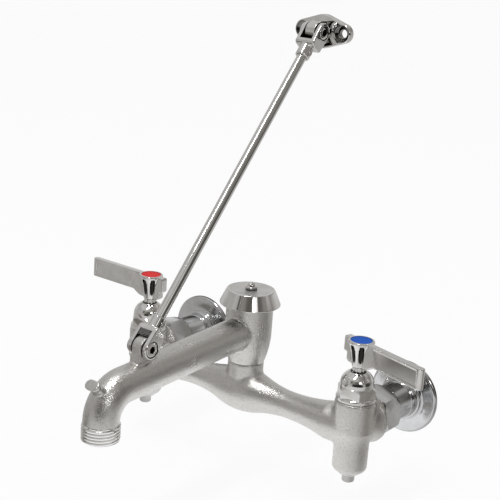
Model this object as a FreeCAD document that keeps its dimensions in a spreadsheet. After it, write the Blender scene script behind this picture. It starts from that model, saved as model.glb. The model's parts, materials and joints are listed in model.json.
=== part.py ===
import FreeCAD, Part
import math
import os

import Sketcher

# Service sink faucet, wall mounted, with lever handles, screwdriver stops in both valves, a vacuum
# breaker on the hub, a hose outlet with a pail hook, and a brace from the spout up to the wall.
# Millimetres. +X runs to the cold side, -Y to the user, +Z up. The wall is the plane y = 0, and the
# origin lies on it midway between the two inlets.

Vector = FreeCAD.Vector
X_AXIS = Vector(1, 0, 0)
Y_AXIS = Vector(0, 1, 0)
Z_AXIS = Vector(0, 0, 1)

document = FreeCAD.newDocument("ServiceSinkFaucet")
sheet = document.addObject("Spreadsheet::Sheet", "Sizes")


class Size:
    """A length or angle: its value now, and the sheet expression that keeps it up to date."""

    def __init__(self, value, text):
        self.value = value
        self.text = text

    def __add__(self, other):
        return join_sizes(self, "+", other)

    def __radd__(self, other):
        return join_sizes(other, "+", self)

    def __sub__(self, other):
        return join_sizes(self, "-", other)

    def __rsub__(self, other):
        return join_sizes(other, "-", self)

    def __mul__(self, other):
        return join_sizes(self, "*", other)

    def __rmul__(self, other):
        return join_sizes(other, "*", self)

    def __truediv__(self, other):
        return join_sizes(self, "/", other)

    def __rtruediv__(self, other):
        return join_sizes(other, "/", self)

    def __neg__(self):
        return Size(-self.value, "(-1 * %s)" % self.text)


def as_size(number):
    """A plain number written as a Size, and a Size as it is."""
    if isinstance(number, Size):
        return number
    return Size(float(number), "(%s)" % repr(float(number)))


def join_sizes(left, sign, right):
    left = as_size(left)
    right = as_size(right)
    results = {
        "+": lambda a, b: a + b,
        "-": lambda a, b: a - b,
        "*": lambda a, b: a * b,
        "/": lambda a, b: a / b,
    }
    return Size(results[sign](left.value, right.value), "(%s %s %s)" % (left.text, sign, right.text))


def sine(angle):
    angle = as_size(angle)
    turned = FreeCAD.Rotation(Z_AXIS, angle.value).multVec(X_AXIS)
    return Size(turned.y, "sin(%s)" % angle.text)


def cosine(angle):
    angle = as_size(angle)
    turned = FreeCAD.Rotation(Z_AXIS, angle.value).multVec(X_AXIS)
    return Size(turned.x, "cos(%s)" % angle.text)


def angle_with_cosine(share):
    """The angle in degrees that has this cosine."""
    return Size(math.degrees(math.acos(share.value)), "(acos(%s) / 1 deg)" % share.text)


def root(square):
    square = as_size(square)
    return Size(square.value ** 0.5, "sqrt(%s)" % square.text)


def size(alias, number):
    """Write one driving dimension into the next cell of the sheet."""
    size.row += 1
    cell = "B%d" % size.row
    sheet.set("A%d" % size.row, alias)
    sheet.set(cell, repr(number))
    sheet.setAlias(cell, alias)
    return Size(float(number), "Sizes." + alias)


size.row = 0

# Where things stand
inlet_spread = size("inlet_spread", 203.2)
valve_standoff = size("valve_standoff", 73.0)
seam_height = size("seam_height", 19.6)
running_gap = size("running_gap", 0.05)
seat_gap = size("seat_gap", 0.1)
thread_gap = size("thread_gap", 0.1)

# Yoke casting
arm_height = size("arm_height", -4.6)
yoke_boss_radius = size("yoke_boss_radius", 17.2)
arm_crown_radius = size("arm_crown_radius", 60.0)
arm_waist_radius = size("arm_waist_radius", 10.3)
arm_waist_place = size("arm_waist_place", 46.0)
arm_end_radius = size("arm_end_radius", 14.6)
arm_end_inset = size("arm_end_inset", 20.6)
neck_radius = size("neck_radius", 13.9)
neck_fillet = size("neck_fillet", 9.0)
valve_radius = size("valve_radius", 15.3)
valve_top_height = size("valve_top_height", 18.5)
valve_rim_chamfer = size("valve_rim_chamfer", 0.9)
barrel_radius = size("barrel_radius", 13.0)
barrel_shoulder_height = size("barrel_shoulder_height", -18.0)
valve_shoulder_height = size("valve_shoulder_height", -5.0)
barrel_end_height = size("barrel_end_height", -33.5)
stop_boss_radius = size("stop_boss_radius", 8.3)
stop_boss_top = size("stop_boss_top", -38.3)
stop_boss_height = size("stop_boss_height", -40.8)
port_flare_radius = size("port_flare_radius", 20.0)
port_flare_edge = size("port_flare_edge", 1.2)
port_face = size("port_face", 57.4)
union_thread_radius = size("union_thread_radius", 14.2)
union_thread_end = size("union_thread_end", 46.0)
arm_seam_angle = size("arm_seam_angle", -150.0)
arm_bore_radius = size("arm_bore_radius", 5.5)
arm_bore_height = size("arm_bore_height", -2.0)
bonnet_thread_radius = size("bonnet_thread_radius", 11.4)
bonnet_thread_length = size("bonnet_thread_length", 9.5)
cartridge_radius = size("cartridge_radius", 9.5)
cartridge_floor = size("cartridge_floor", 0.0)
seat_hole_radius = size("seat_hole_radius", 5.0)
stop_seat_height = size("stop_seat_height", -5.0)
stop_chamber_radius = size("stop_chamber_radius", 7.6)
stop_chamber_floor = size("stop_chamber_floor", -30.0)
supply_bore_radius = size("supply_bore_radius", 7.4)
supply_bore_depth = size("supply_bore_depth", 10.0)
supply_drop_radius = size("supply_drop_radius", 5.0)
supply_drop_angle = size("supply_drop_angle", 41.0)
supply_drop_start = size("supply_drop_start", 52.0)
supply_drop_length = size("supply_drop_length", 24.0)

# Couplings and wall flanges
nut_flats = size("nut_flats", 35.5)
hot_nut_turn = size("hot_nut_turn", 11.0)
cold_nut_turn = size("cold_nut_turn", 41.0)
nut_front = size("nut_front", 56.2)
nut_back = size("nut_back", 33.0)
nut_chamfer = size("nut_chamfer", 1.6)
nut_skirt_radius = size("nut_skirt_radius", 14.7)
nut_skirt_end = size("nut_skirt_end", 12.2)
washer_thickness = size("washer_thickness", 1.6)
tail_collar_thickness = size("tail_collar_thickness", 4.0)
tail_collar_radius = size("tail_collar_radius", 13.9)
tail_radius = size("tail_radius", 12.4)
flange_radius = size("flange_radius", 28.9)
flange_rim = size("flange_rim", 2.8)
flange_dish_radius = size("flange_dish_radius", 19.0)
flange_dish = size("flange_dish", 5.4)
flange_neck_start = size("flange_neck_start", 11.8)
inlet_thread_radius = size("inlet_thread_radius", 9.13)
inlet_thread_depth = size("inlet_thread_depth", 14.0)

# Bonnets, cartridges and stems
bonnet_flats = size("bonnet_flats", 25.8)
bonnet_turn = size("bonnet_turn", -49.5)
bonnet_foot_gap = size("bonnet_foot_gap", 0.9)
bonnet_hex_height = size("bonnet_hex_height", 9.6)
bonnet_dome_height = size("bonnet_dome_height", 11.4)
bonnet_foot = valve_top_height + bonnet_foot_gap
bonnet_hex_top = bonnet_foot + bonnet_hex_height
bonnet_dome_top = bonnet_hex_top + bonnet_dome_height
bonnet_dome_radius = size("bonnet_dome_radius", 12.75)
bonnet_dome_arc = size("bonnet_dome_arc", 10.5)
bonnet_dome_mouth = size("bonnet_dome_mouth", 7.1)
bonnet_recess_radius = size("bonnet_recess_radius", 6.5)
bonnet_recess = size("bonnet_recess", 1.2)
stem_radius = size("stem_radius", 4.0)
stem_collar_radius = size("stem_collar_radius", 5.1)
stem_collar_top = size("stem_collar_top", 43.6)
stem_top = size("stem_top", 54.0)
disc_radius = size("disc_radius", 7.6)
disc_thickness = size("disc_thickness", 2.6)
disc_port_radius = size("disc_port_radius", 2.2)
disc_port_place = size("disc_port_place", 3.9)
seal_thickness = size("seal_thickness", 1.2)
cartridge_wall_radius = size("cartridge_wall_radius", 8.6)
cartridge_top = size("cartridge_top", 22.0)
cartridge_window_radius = size("cartridge_window_radius", 1.8)
driver_radius = size("driver_radius", 7.0)
driver_thickness = size("driver_thickness", 3.6)
stem_seal_height = size("stem_seal_height", 31.0)
ring_wire_radius = size("ring_wire_radius", 0.9)

# Lever handles
handle_top = size("handle_top", 64.2)
handle_rim_radius = size("handle_rim_radius", 9.05)
handle_rim_height = size("handle_rim_height", 1.8)
handle_hub_radius = size("handle_hub_radius", 8.4)
handle_foot_radius = size("handle_foot_radius", 5.9)
flute_radius = size("flute_radius", 1.35)
flute_count = 9
lever_length = size("lever_length", 63.4)
lever_height = size("lever_height", 15.8)
lever_thickness = size("lever_thickness", 5.6)
lever_panel_depth = size("lever_panel_depth", 0.7)
lever_panel_start = size("lever_panel_start", 15.0)
lever_lip = size("lever_lip", 1.6)
lever_tip_width = size("lever_tip_width", 5.0)
tail_reach = size("tail_reach", 15.0)
tail_foot = size("tail_foot", 52.0)
tail_step_reach = size("tail_step_reach", 11.4)
button_radius = size("button_radius", 8.05)
button_thickness = size("button_thickness", 1.1)
button_recess = size("button_recess", 0.2)
handle_screw_radius = size("handle_screw_radius", 2.0)
handle_screw_head_radius = size("handle_screw_head_radius", 4.2)
handle_screw_head = size("handle_screw_head", 2.4)
cold_lever_opened = size("cold_lever_opened", -15.4)
hot_lever_opened = size("hot_lever_opened", 0.0)

# Screwdriver stops
stop_stem_radius = size("stop_stem_radius", 4.75)
stop_stem_end = size("stop_stem_end", -47.1)
stop_plug_radius = size("stop_plug_radius", 6.2)
stop_plug_foot = size("stop_plug_foot", -16.0)
stop_washer_foot = size("stop_washer_foot", -11.5)
stop_washer_thickness = size("stop_washer_thickness", 2.5)
stop_slot_width = size("stop_slot_width", 1.4)
stop_slot_depth = size("stop_slot_depth", 1.8)
stop_seal_height = size("stop_seal_height", -36.0)

# Spout casting
hub_radius = size("hub_radius", 18.1)
hub_straight_height = size("hub_straight_height", 44.0)
hub_top = size("hub_top", 68.0)
spout_height = size("spout_height", 45.1)
spout_droop = size("spout_droop", 2.9)
spout_radius = size("spout_radius", 12.7)
spout_reach = size("spout_reach", 159.7)
bend_radius = size("bend_radius", 20.5)
outlet_height = size("outlet_height", 3.9)
hose_thread_radius = size("hose_thread_radius", 13.49)
hose_thread_length = size("hose_thread_length", 12.6)
spout_bore_radius = size("spout_bore_radius", 9.2)
hub_bore_radius = size("hub_bore_radius", 9.9)
hub_fillet = size("hub_fillet", 3.0)
nipple_radius = size("nipple_radius", 10.9)
nipple_wall = size("nipple_wall", 2.4)
nipple_length = size("nipple_length", 22.0)
hook_angle = size("hook_angle", 43.4)
hook_reach = size("hook_reach", 9.2)
hook_width = size("hook_width", 11.4)
hook_height = size("hook_height", 5.4)
hook_head = size("hook_head", 2.6)
hook_neck_width = size("hook_neck_width", 9.4)
hook_neck_height = size("hook_neck_height", 4.2)

# Vacuum breaker
float_chamber_radius = size("float_chamber_radius", 13.0)
float_chamber_floor = size("float_chamber_floor", 55.2)
seat_ring_thickness = size("seat_ring_thickness", 1.8)
float_radius = size("float_radius", 11.8)
float_thickness = size("float_thickness", 2.6)
float_guide_radius = size("float_guide_radius", 1.9)
float_guide_length = size("float_guide_length", 8.0)
float_rise = size("float_rise", 3.0)
vent_gasket_thickness = size("vent_gasket_thickness", 1.3)
vent_gasket_bore = size("vent_gasket_bore", 9.4)
breaker_thread_radius = size("breaker_thread_radius", 15.1)
breaker_flange_radius = size("breaker_flange_radius", 16.6)
breaker_flange = size("breaker_flange", 2.0)
breaker_post_radius = size("breaker_post_radius", 4.4)
breaker_stud_radius = size("breaker_stud_radius", 2.4)
breaker_stud_top = size("breaker_stud_top", 81.4)
guide_bore_depth = size("guide_bore_depth", 9.0)
vent_hole_radius = size("vent_hole_radius", 1.9)
vent_hole_place = size("vent_hole_place", 7.0)
vent_hole_count = 6
cap_top = size("cap_top", 77.25)
cap_top_radius = size("cap_top_radius", 18.5)
cap_edge = size("cap_edge", 0.8)
cap_rim_radius = size("cap_rim_radius", 23.4)
cap_rim_height = size("cap_rim_height", 65.6)
cap_rim_band = size("cap_rim_band", 1.3)
cap_wall = size("cap_wall", 1.6)
acorn_flats = size("acorn_flats", 8.4)
acorn_hex = size("acorn_hex", 2.4)
acorn_radius = size("acorn_radius", 3.4)
acorn_top = size("acorn_top", 83.0)

# Brace to the wall
lower_pin_out = size("lower_pin_out", 193.1)
lower_pin_height = size("lower_pin_height", 60.6)
brace_length = size("brace_length", 274.6)
upper_pin_out = size("upper_pin_out", 14.762)
pin_radius = size("pin_radius", 3.2)
pin_head_radius = size("pin_head_radius", 5.3)
pin_recess_radius = size("pin_recess_radius", 6.0)
pin_head = size("pin_head", 2.4)
pin_socket_flats = size("pin_socket_flats", 5.0)
pin_socket_depth = size("pin_socket_depth", 1.8)
pin_head_inset = size("pin_head_inset", 0.3)
lug_thickness = size("lug_thickness", 10.0)
lug_radius = size("lug_radius", 7.9)
lug_side_gap = size("lug_side_gap", 0.35)
clevis_half_width = size("clevis_half_width", 8.5)
clevis_half_depth = size("clevis_half_depth", 7.3)
clevis_bridge_half_depth = size("clevis_bridge_half_depth", 6.6)
clevis_boss_radius = size("clevis_boss_radius", 6.0)
clevis_boss = size("clevis_boss", 1.8)
clevis_slot_depth = size("clevis_slot_depth", 11.0)
clevis_bridge = size("clevis_bridge", 4.2)
clevis_collar_radius = size("clevis_collar_radius", 5.6)
clevis_collar_end = size("clevis_collar_end", 23.8)
rod_radius = size("rod_radius", 3.75)
rod_start = size("rod_start", 13.0)
set_screw_radius = size("set_screw_radius", 2.0)
set_screw_proud = size("set_screw_proud", 0.5)
set_screw_place = size("set_screw_place", 19.6)
plate_thickness = size("plate_thickness", 6.0)
plate_half_height = size("plate_half_height", 13.0)
plate_end_radius = size("plate_end_radius", 7.4)
plate_hole_spacing = size("plate_hole_spacing", 36.0)
plate_hole_radius = size("plate_hole_radius", 3.3)
plate_counterbore_radius = size("plate_counterbore_radius", 6.4)
plate_counterbore_depth = size("plate_counterbore_depth", 2.6)

# Places that follow from the sizes above
valve_place = inlet_spread / 2
brace_tilt = angle_with_cosine((lower_pin_out - upper_pin_out) / brace_length)
brace_rise = brace_length * sine(brace_tilt)
upper_pin_height = lower_pin_height + brace_rise
hex_corner = 1 / cosine(30)
float_foot = float_chamber_floor + seat_ring_thickness
gasket_foot = float_foot + float_thickness + float_rise
breaker_foot = gasket_foot + vent_gasket_thickness
cap_ceiling = cap_top - cap_wall

parts = []


def keep(thing):
    """Note a finished sub-part, to be checked and written out at the end."""
    parts.append(thing)
    return thing


def bind(thing, **properties):
    """Tie properties of an object to sheet expressions."""
    for name, value in properties.items():
        thing.setExpression(name, as_size(value).text)


def place(thing, x=0, y=0, z=0, axis=None, angle=0):
    """Put an object at a place given in sizes, turned about one axis."""
    angle = as_size(angle)
    if axis is not None:
        thing.Placement = FreeCAD.Placement(Vector(), FreeCAD.Rotation(axis, angle.value))
        if abs(angle.value) > 0.001:
            thing.setExpression("Placement.Rotation.Angle", "%s * 1 deg" % angle.text)
    for letter, value in (("x", x), ("y", y), ("z", z)):
        thing.setExpression("Placement.Base." + letter, as_size(value).text)
    return thing


class Corner:
    """One corner of an outline, and the arc, if any, that leads to it from the corner before.

    With bands, the arc is drawn as that many straight facets, which small pieces use to stay light.
    """

    def __init__(self, across, up, arc=None, side=1, bands=None):
        self.across = as_size(across)
        self.up = as_size(up)
        self.arc = None if arc is None else as_size(arc)
        self.side = side
        self.bands = bands

    def point(self):
        return Vector(self.across.value, self.up.value, 0)


def arc_between(start, end, radius, side):
    """The short arc from start to end; side 1 curves to the left of travel, -1 to the right."""
    chord = end - start
    middle = (start + end) * 0.5
    half = chord.Length / 2
    left = Vector(-chord.y, chord.x, 0).normalize()
    reach = max(radius * radius - half * half, 0.0) ** 0.5
    centre = middle + left * (side * reach)
    first = start if side > 0 else end
    opening = math.atan2(first.y - centre.y, first.x - centre.x)
    turn = 2 * math.asin(min(half / radius, 1.0))
    return Part.ArcOfCircle(Part.Circle(centre, Z_AXIS, radius), opening, opening + turn)


def in_bands(corners):
    """The outline with each banded arc replaced by corners that lie on it."""
    result = []
    for index, corner in enumerate(corners):
        if corner.bands is None:
            result.append(corner)
            continue
        before = corners[index - 1]
        run = corner.across - before.across
        rise = corner.up - before.up
        chord = root(run * run + rise * rise)
        half = chord / 2
        reach = root(corner.arc * corner.arc - half * half)
        for step in range(1, corner.bands):
            share = 2.0 * step / corner.bands - 1
            lift = (root(corner.arc * corner.arc - half * half * share * share) - reach) * corner.side
            result.append(Corner(
                before.across + run * (share + 1) / 2 + rise * lift / chord,
                before.up + rise * (share + 1) / 2 - run * lift / chord))
        result.append(Corner(corner.across, corner.up))
    return result


def tie_point(sketch, index, point, corner):
    """Hold one end of an edge at the corner's place."""
    for kind, value in (("DistanceX", corner.across), ("DistanceY", corner.up)):
        rule = sketch.addConstraint(Sketcher.Constraint(kind, -1, 1, index, point, value.value))
        sketch.setExpression("Constraints[%d]" % rule, value.text)


def draw_outline(sketch, corners, closed=True):
    """Draw a closed outline, or an open line, and tie each corner and arc radius to its size."""
    corners = in_bands(corners)
    ends = corners if closed else corners[1:]
    count = len(ends)
    flipped = [corner.arc is not None and corner.side < 0 for corner in ends]
    for index, corner in enumerate(ends):
        start = corners[index - 1 if closed else index].point()
        end = corner.point()
        if corner.arc is None:
            sketch.addGeometry(Part.LineSegment(start, end), False)
        else:
            sketch.addGeometry(arc_between(start, end, corner.arc.value, corner.side), False)
    for index in range(count if closed else count - 1):
        after = (index + 1) % count
        end_point = 1 if flipped[index] else 2
        start_point = 2 if flipped[after] else 1
        sketch.addConstraint(Sketcher.Constraint("Coincident", index, end_point, after, start_point))
    if not closed:
        tie_point(sketch, 0, 2 if flipped[0] else 1, corners[0])
    for index, corner in enumerate(ends):
        tie_point(sketch, index, 1 if flipped[index] else 2, corner)
        if corner.arc is not None:
            rule = sketch.addConstraint(Sketcher.Constraint("Radius", index, corner.arc.value))
            sketch.setExpression("Constraints[%d]" % rule, corner.arc.text)


def new_body(label):
    body = document.addObject("PartDesign::Body", label)
    body.Label = label
    return body


def sketch_on(body, role, name, offset=None, turn=None):
    """A sketch on one of the body's own origin planes, moved off it and turned on it."""
    sketch = body.newObject("Sketcher::SketchObject", body.Label + "_" + name)
    plane = [item for item in body.Origin.OriginFeatures if item.Role == role][0]
    sketch.AttachmentSupport = [(plane, "")]
    sketch.MapMode = "FlatFace"
    if turn is not None:
        turn = as_size(turn)
        sketch.AttachmentOffset = FreeCAD.Placement(Vector(), FreeCAD.Rotation(Z_AXIS, turn.value))
        sketch.setExpression("AttachmentOffset.Rotation.Angle", "%s * 1 deg" % turn.text)
    if offset is not None:
        sketch.setExpression("AttachmentOffset.Base.z", as_size(offset).text)
    return sketch


def feature(body, kind, name, profile, **properties):
    item = body.newObject("PartDesign::" + kind, body.Label + "_" + name)
    item.Profile = profile
    bind(item, **properties)
    return item


def turned_body(label, corners):
    """A body turned about its Z axis from an outline of radius and height."""
    body = new_body(label)
    sketch = sketch_on(body, "XZ_Plane", "outline")
    draw_outline(sketch, corners)
    turn = feature(body, "Revolution", "turning", sketch)
    turn.ReferenceAxis = (sketch, ["V_Axis"])
    turn.Angle = 360
    return body


def circle_sketch(body, role, name, circles, offset=None):
    """A sketch of circles, each given as (across, up, radius)."""
    sketch = sketch_on(body, role, name, offset)
    for index, (across, up, radius) in enumerate(circles):
        across, up, radius = as_size(across), as_size(up), as_size(radius)
        centre = Vector(across.value, up.value, 0)
        sketch.addGeometry(Part.Circle(centre, Z_AXIS, radius.value), False)
        rules = [("DistanceX", across), ("DistanceY", up)]
        for kind, value in rules:
            rule = sketch.addConstraint(Sketcher.Constraint(kind, -1, 1, index, 3, value.value))
            sketch.setExpression("Constraints[%d]" % rule, value.text)
        rule = sketch.addConstraint(Sketcher.Constraint("Radius", index, radius.value))
        sketch.setExpression("Constraints[%d]" % rule, radius.text)
    return sketch


def hexagon(flats, turn):
    """Corners of a hexagon given across its flats, one corner turned off the first axis."""
    reach = flats / 2 * hex_corner
    return [Corner(reach * cosine(turn + 60 * step), reach * sine(turn + 60 * step))
            for step in range(6)]


def pad(body, name, sketch, length, symmetric=False, reversed_way=False):
    item = feature(body, "Pad", name, sketch, Length=length)
    item.Midplane = symmetric
    item.Reversed = reversed_way
    return item


def pocket(body, name, sketch, length, symmetric=False, reversed_way=False):
    item = feature(body, "Pocket", name, sketch, Length=length)
    item.Midplane = symmetric
    item.Reversed = reversed_way
    return item


def groove(body, name, corners):
    """Cut an outline of radius and height round the body's Z axis."""
    sketch = sketch_on(body, "XZ_Plane", name + "_outline")
    draw_outline(sketch, corners)
    item = feature(body, "Groove", name, sketch)
    item.ReferenceAxis = (sketch, ["V_Axis"])
    item.Angle = 360
    return item


def cylinder(name, radius, length, x=0, y=0, z=0, axis=None, angle=0):
    item = document.addObject("Part::Cylinder", name)
    bind(item, Radius=radius, Height=length)
    place(item, x, y, z, axis, angle)
    return item


def fuse(name, shapes):
    item = document.addObject("Part::MultiFuse", name)
    item.Shapes = shapes
    item.Refine = True
    return item


def cut(label, base, tools):
    """Cut tools from a base; the result is named after the sub-part."""
    tool = tools[0] if len(tools) == 1 else fuse(label + "_openings", tools)
    item = document.addObject("Part::Cut", label)
    item.Label = label
    item.Base = base
    item.Tool = tool
    return item


def round_edges(name, base, radius, chosen):
    """Fillet the edges of a solid that a test picks out."""
    document.recompute()
    item = document.addObject("Part::Fillet", name)
    item.Base = base
    picked = [number + 1 for number, edge in enumerate(base.Shape.Edges) if chosen(edge)]
    item.Edges = [(number, radius.value, radius.value) for number in picked]
    return item


def flat_ring(label, outer, inner, foot, thickness):
    """A washer, gasket or seat ring with square edges."""
    return turned_body(label, [
        Corner(inner, foot), Corner(outer, foot), Corner(outer, foot + thickness),
        Corner(inner, foot + thickness)])


def round_ring(label, middle, wire, height):
    """A rubber ring whose round section is drawn with six sides."""
    half = wire * cosine(30)
    return turned_body(label, [
        Corner(middle - wire, height), Corner(middle - wire / 2, height - half),
        Corner(middle + wire / 2, height - half), Corner(middle + wire, height),
        Corner(middle + wire / 2, height + half), Corner(middle - wire / 2, height + half)])


# Yoke: two arms, the neck, two valve bodies with their ports, and the waterways through them

def arm_outline():
    drop = yoke_boss_radius - arm_waist_radius
    arcs = (arm_waist_place * arm_waist_place + drop * drop) / (2 * drop)
    waist_arc = arcs - arm_crown_radius
    join = arm_waist_place * arm_crown_radius / arcs
    join_radius = yoke_boss_radius - arm_crown_radius + root(
        arm_crown_radius * arm_crown_radius - join * join)
    end = valve_place - arm_end_inset
    run = end - arm_waist_place
    rise = arm_end_radius - arm_waist_radius
    end_arc = (run * run + rise * rise) / (2 * rise)
    inner = valve_place - 9
    return [
        Corner(-inner, 0), Corner(-inner, arm_end_radius), Corner(-end, arm_end_radius),
        Corner(-arm_waist_place, arm_waist_radius, end_arc, 1),
        Corner(-join, join_radius, waist_arc, 1),
        Corner(join, join_radius, arm_crown_radius, -1),
        Corner(arm_waist_place, arm_waist_radius, waist_arc, 1),
        Corner(end, arm_end_radius, end_arc, 1),
        Corner(inner, arm_end_radius), Corner(inner, 0)]


def make_arms():
    body = new_body("yoke_arms")
    sketch = sketch_on(body, "XZ_Plane", "outline")
    draw_outline(sketch, arm_outline())
    turn = feature(body, "Revolution", "turning", sketch)
    turn.ReferenceAxis = (sketch, ["H_Axis"])
    turn.Angle = 360
    return place(body, y=-valve_standoff, z=arm_height, axis=X_AXIS, angle=arm_seam_angle)


def facing(corners, sign):
    """An outline as it is, or mirrored across the axis, so the turned face starts on that side."""
    return [Corner(corner.across * sign, corner.up, corner.arc, corner.side * sign, corner.bands)
            for corner in corners]


def make_valve_barrel(side, x, sign):
    reach = barrel_end_height - stop_boss_top
    body = turned_body(side + "_valve_barrel", facing([
        Corner(0, stop_boss_height), Corner(stop_boss_radius, stop_boss_height),
        Corner(stop_boss_radius, stop_boss_top),
        Corner(barrel_radius, barrel_end_height, reach, 1, 3),
        Corner(barrel_radius, barrel_shoulder_height),
        Corner(valve_radius, valve_shoulder_height, 40, -1, 3),
        Corner(valve_radius, valve_top_height - valve_rim_chamfer),
        Corner(valve_radius - valve_rim_chamfer, valve_top_height),
        Corner(0, valve_top_height)], sign))
    return place(body, x=x, y=-valve_standoff)


def make_port(side, x, sign):
    body = turned_body(side + "_valve_port", facing([
        Corner(0, union_thread_end), Corner(union_thread_radius, union_thread_end),
        Corner(union_thread_radius, port_face), Corner(port_flare_radius, port_face),
        Corner(port_flare_radius, port_face + port_flare_edge),
        Corner(valve_radius - 0.6, valve_standoff + 3, 26, -1, 4),
        Corner(0, valve_standoff + 3)], sign))
    return place(body, x=x, axis=X_AXIS, angle=90)


def make_yoke():
    neck = cylinder("yoke_neck", neck_radius, seam_height - arm_height, y=-valve_standoff,
                    z=arm_height)
    solids = [make_arms(), neck]
    openings = [
        cylinder("neck_bore", nipple_radius + thread_gap, nipple_length / 2 + 1, y=-valve_standoff,
                 z=seam_height - nipple_length / 2 - 1),
        cylinder("neck_waterway", nipple_radius - nipple_wall, seam_height - arm_height,
                 y=-valve_standoff, z=arm_height),
        cylinder("arm_waterway", arm_bore_radius, inlet_spread - 2 * cartridge_radius + 1,
                 x=-(valve_place - cartridge_radius + 0.5), y=-valve_standoff, z=arm_bore_height,
                 axis=Y_AXIS, angle=90)]
    for side, sign in (("hot", -1), ("cold", 1)):
        x = valve_place * sign
        solids.append(make_valve_barrel(side, x, sign))
        solids.append(make_port(side, x, sign))
        thread_floor = valve_top_height - bonnet_thread_length
        bore = cylinder(side + "_bonnet_bore", bonnet_thread_radius + thread_gap,
                        bonnet_thread_length, x, -valve_standoff, thread_floor)
        pocket_bore = cylinder(side + "_cartridge_bore", cartridge_radius + thread_gap,
                               thread_floor - cartridge_floor, x, -valve_standoff, cartridge_floor)
        seat = cylinder(side + "_stop_seat", seat_hole_radius, cartridge_floor - stop_seat_height, x,
                        -valve_standoff, stop_seat_height)
        chamber = cylinder(side + "_stop_chamber", stop_chamber_radius,
                           stop_seat_height - stop_chamber_floor, x, -valve_standoff,
                           stop_chamber_floor)
        shaft = cylinder(side + "_stop_bore", stop_stem_radius + running_gap,
                         stop_chamber_floor - stop_boss_height, x, -valve_standoff,
                         stop_boss_height)
        supply = cylinder(side + "_supply_bore", supply_bore_radius, supply_bore_depth, x,
                          -union_thread_end, 0, X_AXIS, 90)
        drop = cylinder(side + "_supply_drop", supply_drop_radius, supply_drop_length, x,
                        -supply_drop_start, 0, X_AXIS, 90 + supply_drop_angle)
        seal_reach = stop_stem_radius + running_gap + 2 * ring_wire_radius + seat_gap
        seal_groove = cylinder(side + "_stop_seal_groove", seal_reach,
                               2 * ring_wire_radius + 2 * seat_gap, x, -valve_standoff,
                               stop_seal_height - ring_wire_radius - seat_gap)
        openings += [bore, pocket_bore, seat, chamber, shaft, supply, drop, seal_groove]
    casting = fuse("yoke_casting", solids)

    def at_neck(edge):
        box = edge.BoundBox
        wide = abs(box.XLength - 2 * neck_radius.value) < 0.6
        return wide and abs(box.Center.x) < 0.5 and 2 < box.Center.z < seam_height.value - 1

    blended = round_edges("yoke_blended", casting, neck_fillet, at_neck)
    return keep(cut("yoke_body", blended, openings))


make_yoke()

# Spout: hub barrel, arm, bend and outlet, with the brace lug and the pail hook cast on


def make_sweep(name, radius, end_height):
    """A round bar from the hub's axis along the arm, round the bend and down to a height."""
    spine = document.addObject("Sketcher::SketchObject", name + "_line")
    spine.Placement = FreeCAD.Placement(Vector(), FreeCAD.Rotation(Y_AXIS, Z_AXIS, X_AXIS))
    outlet = -(valve_standoff + spout_reach)
    centre_out = outlet + bend_radius
    slope = sine(spout_droop) / cosine(spout_droop)
    bend_start_out = centre_out - bend_radius * sine(spout_droop)
    bend_start_height = spout_height + (bend_start_out + valve_standoff) * slope
    centre_height = bend_start_height - bend_radius * cosine(spout_droop)
    draw_outline(spine, [
        Corner(-valve_standoff, spout_height), Corner(bend_start_out, bend_start_height),
        Corner(outlet, centre_height, bend_radius, 1), Corner(outlet, end_height)], closed=False)
    ring = document.addObject("Part::Circle", name + "_ring")
    bind(ring, Radius=radius)
    place(ring, y=-valve_standoff, z=spout_height, axis=X_AXIS, angle=90 + spout_droop)
    sweep = document.addObject("Part::Sweep", name)
    sweep.Sections = [ring]
    sweep.Spine = (spine, ["Edge1", "Edge2", "Edge3"])
    sweep.Solid = True
    sweep.Frenet = False
    return sweep, centre_out, centre_height


def make_lug_plate(name, thickness, base_half, base_drop, tilt):
    """A lug about the X axis: a rounded head and two flanks that spread to its base."""
    body = new_body(name)
    sketch = sketch_on(body, "YZ_Plane", "outline")
    spread = root(base_half * base_half + base_drop * base_drop)
    lean = root(spread * spread - lug_radius * lug_radius)
    across = (base_half * lug_radius * lug_radius + base_drop * lug_radius * lean) / (spread * spread)
    up = (-base_drop * lug_radius * lug_radius + base_half * lug_radius * lean) / (spread * spread)
    draw_outline(sketch, [
        Corner(-base_half, -base_drop), Corner(base_half, -base_drop), Corner(across, up),
        Corner(0, lug_radius, lug_radius, 1), Corner(-across, up, lug_radius, 1)])
    pad(body, "thickness", sketch, thickness, symmetric=True)
    return place(body, y=0, z=0, axis=X_AXIS, angle=tilt)


def rounded_bar(name, width, height, length):
    """A bar of oblong section along its Z axis, with round ends across its width."""
    flat = width - height
    slab = document.addObject("Part::Box", name + "_slab")
    bind(slab, Length=flat, Width=height, Height=length)
    place(slab, x=-flat / 2, y=-height / 2)
    ends = [cylinder(name + "_end_%d" % sign, height / 2, length, x=flat / 2 * sign)
            for sign in (-1, 1)]
    return fuse(name, [slab] + ends)


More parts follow.
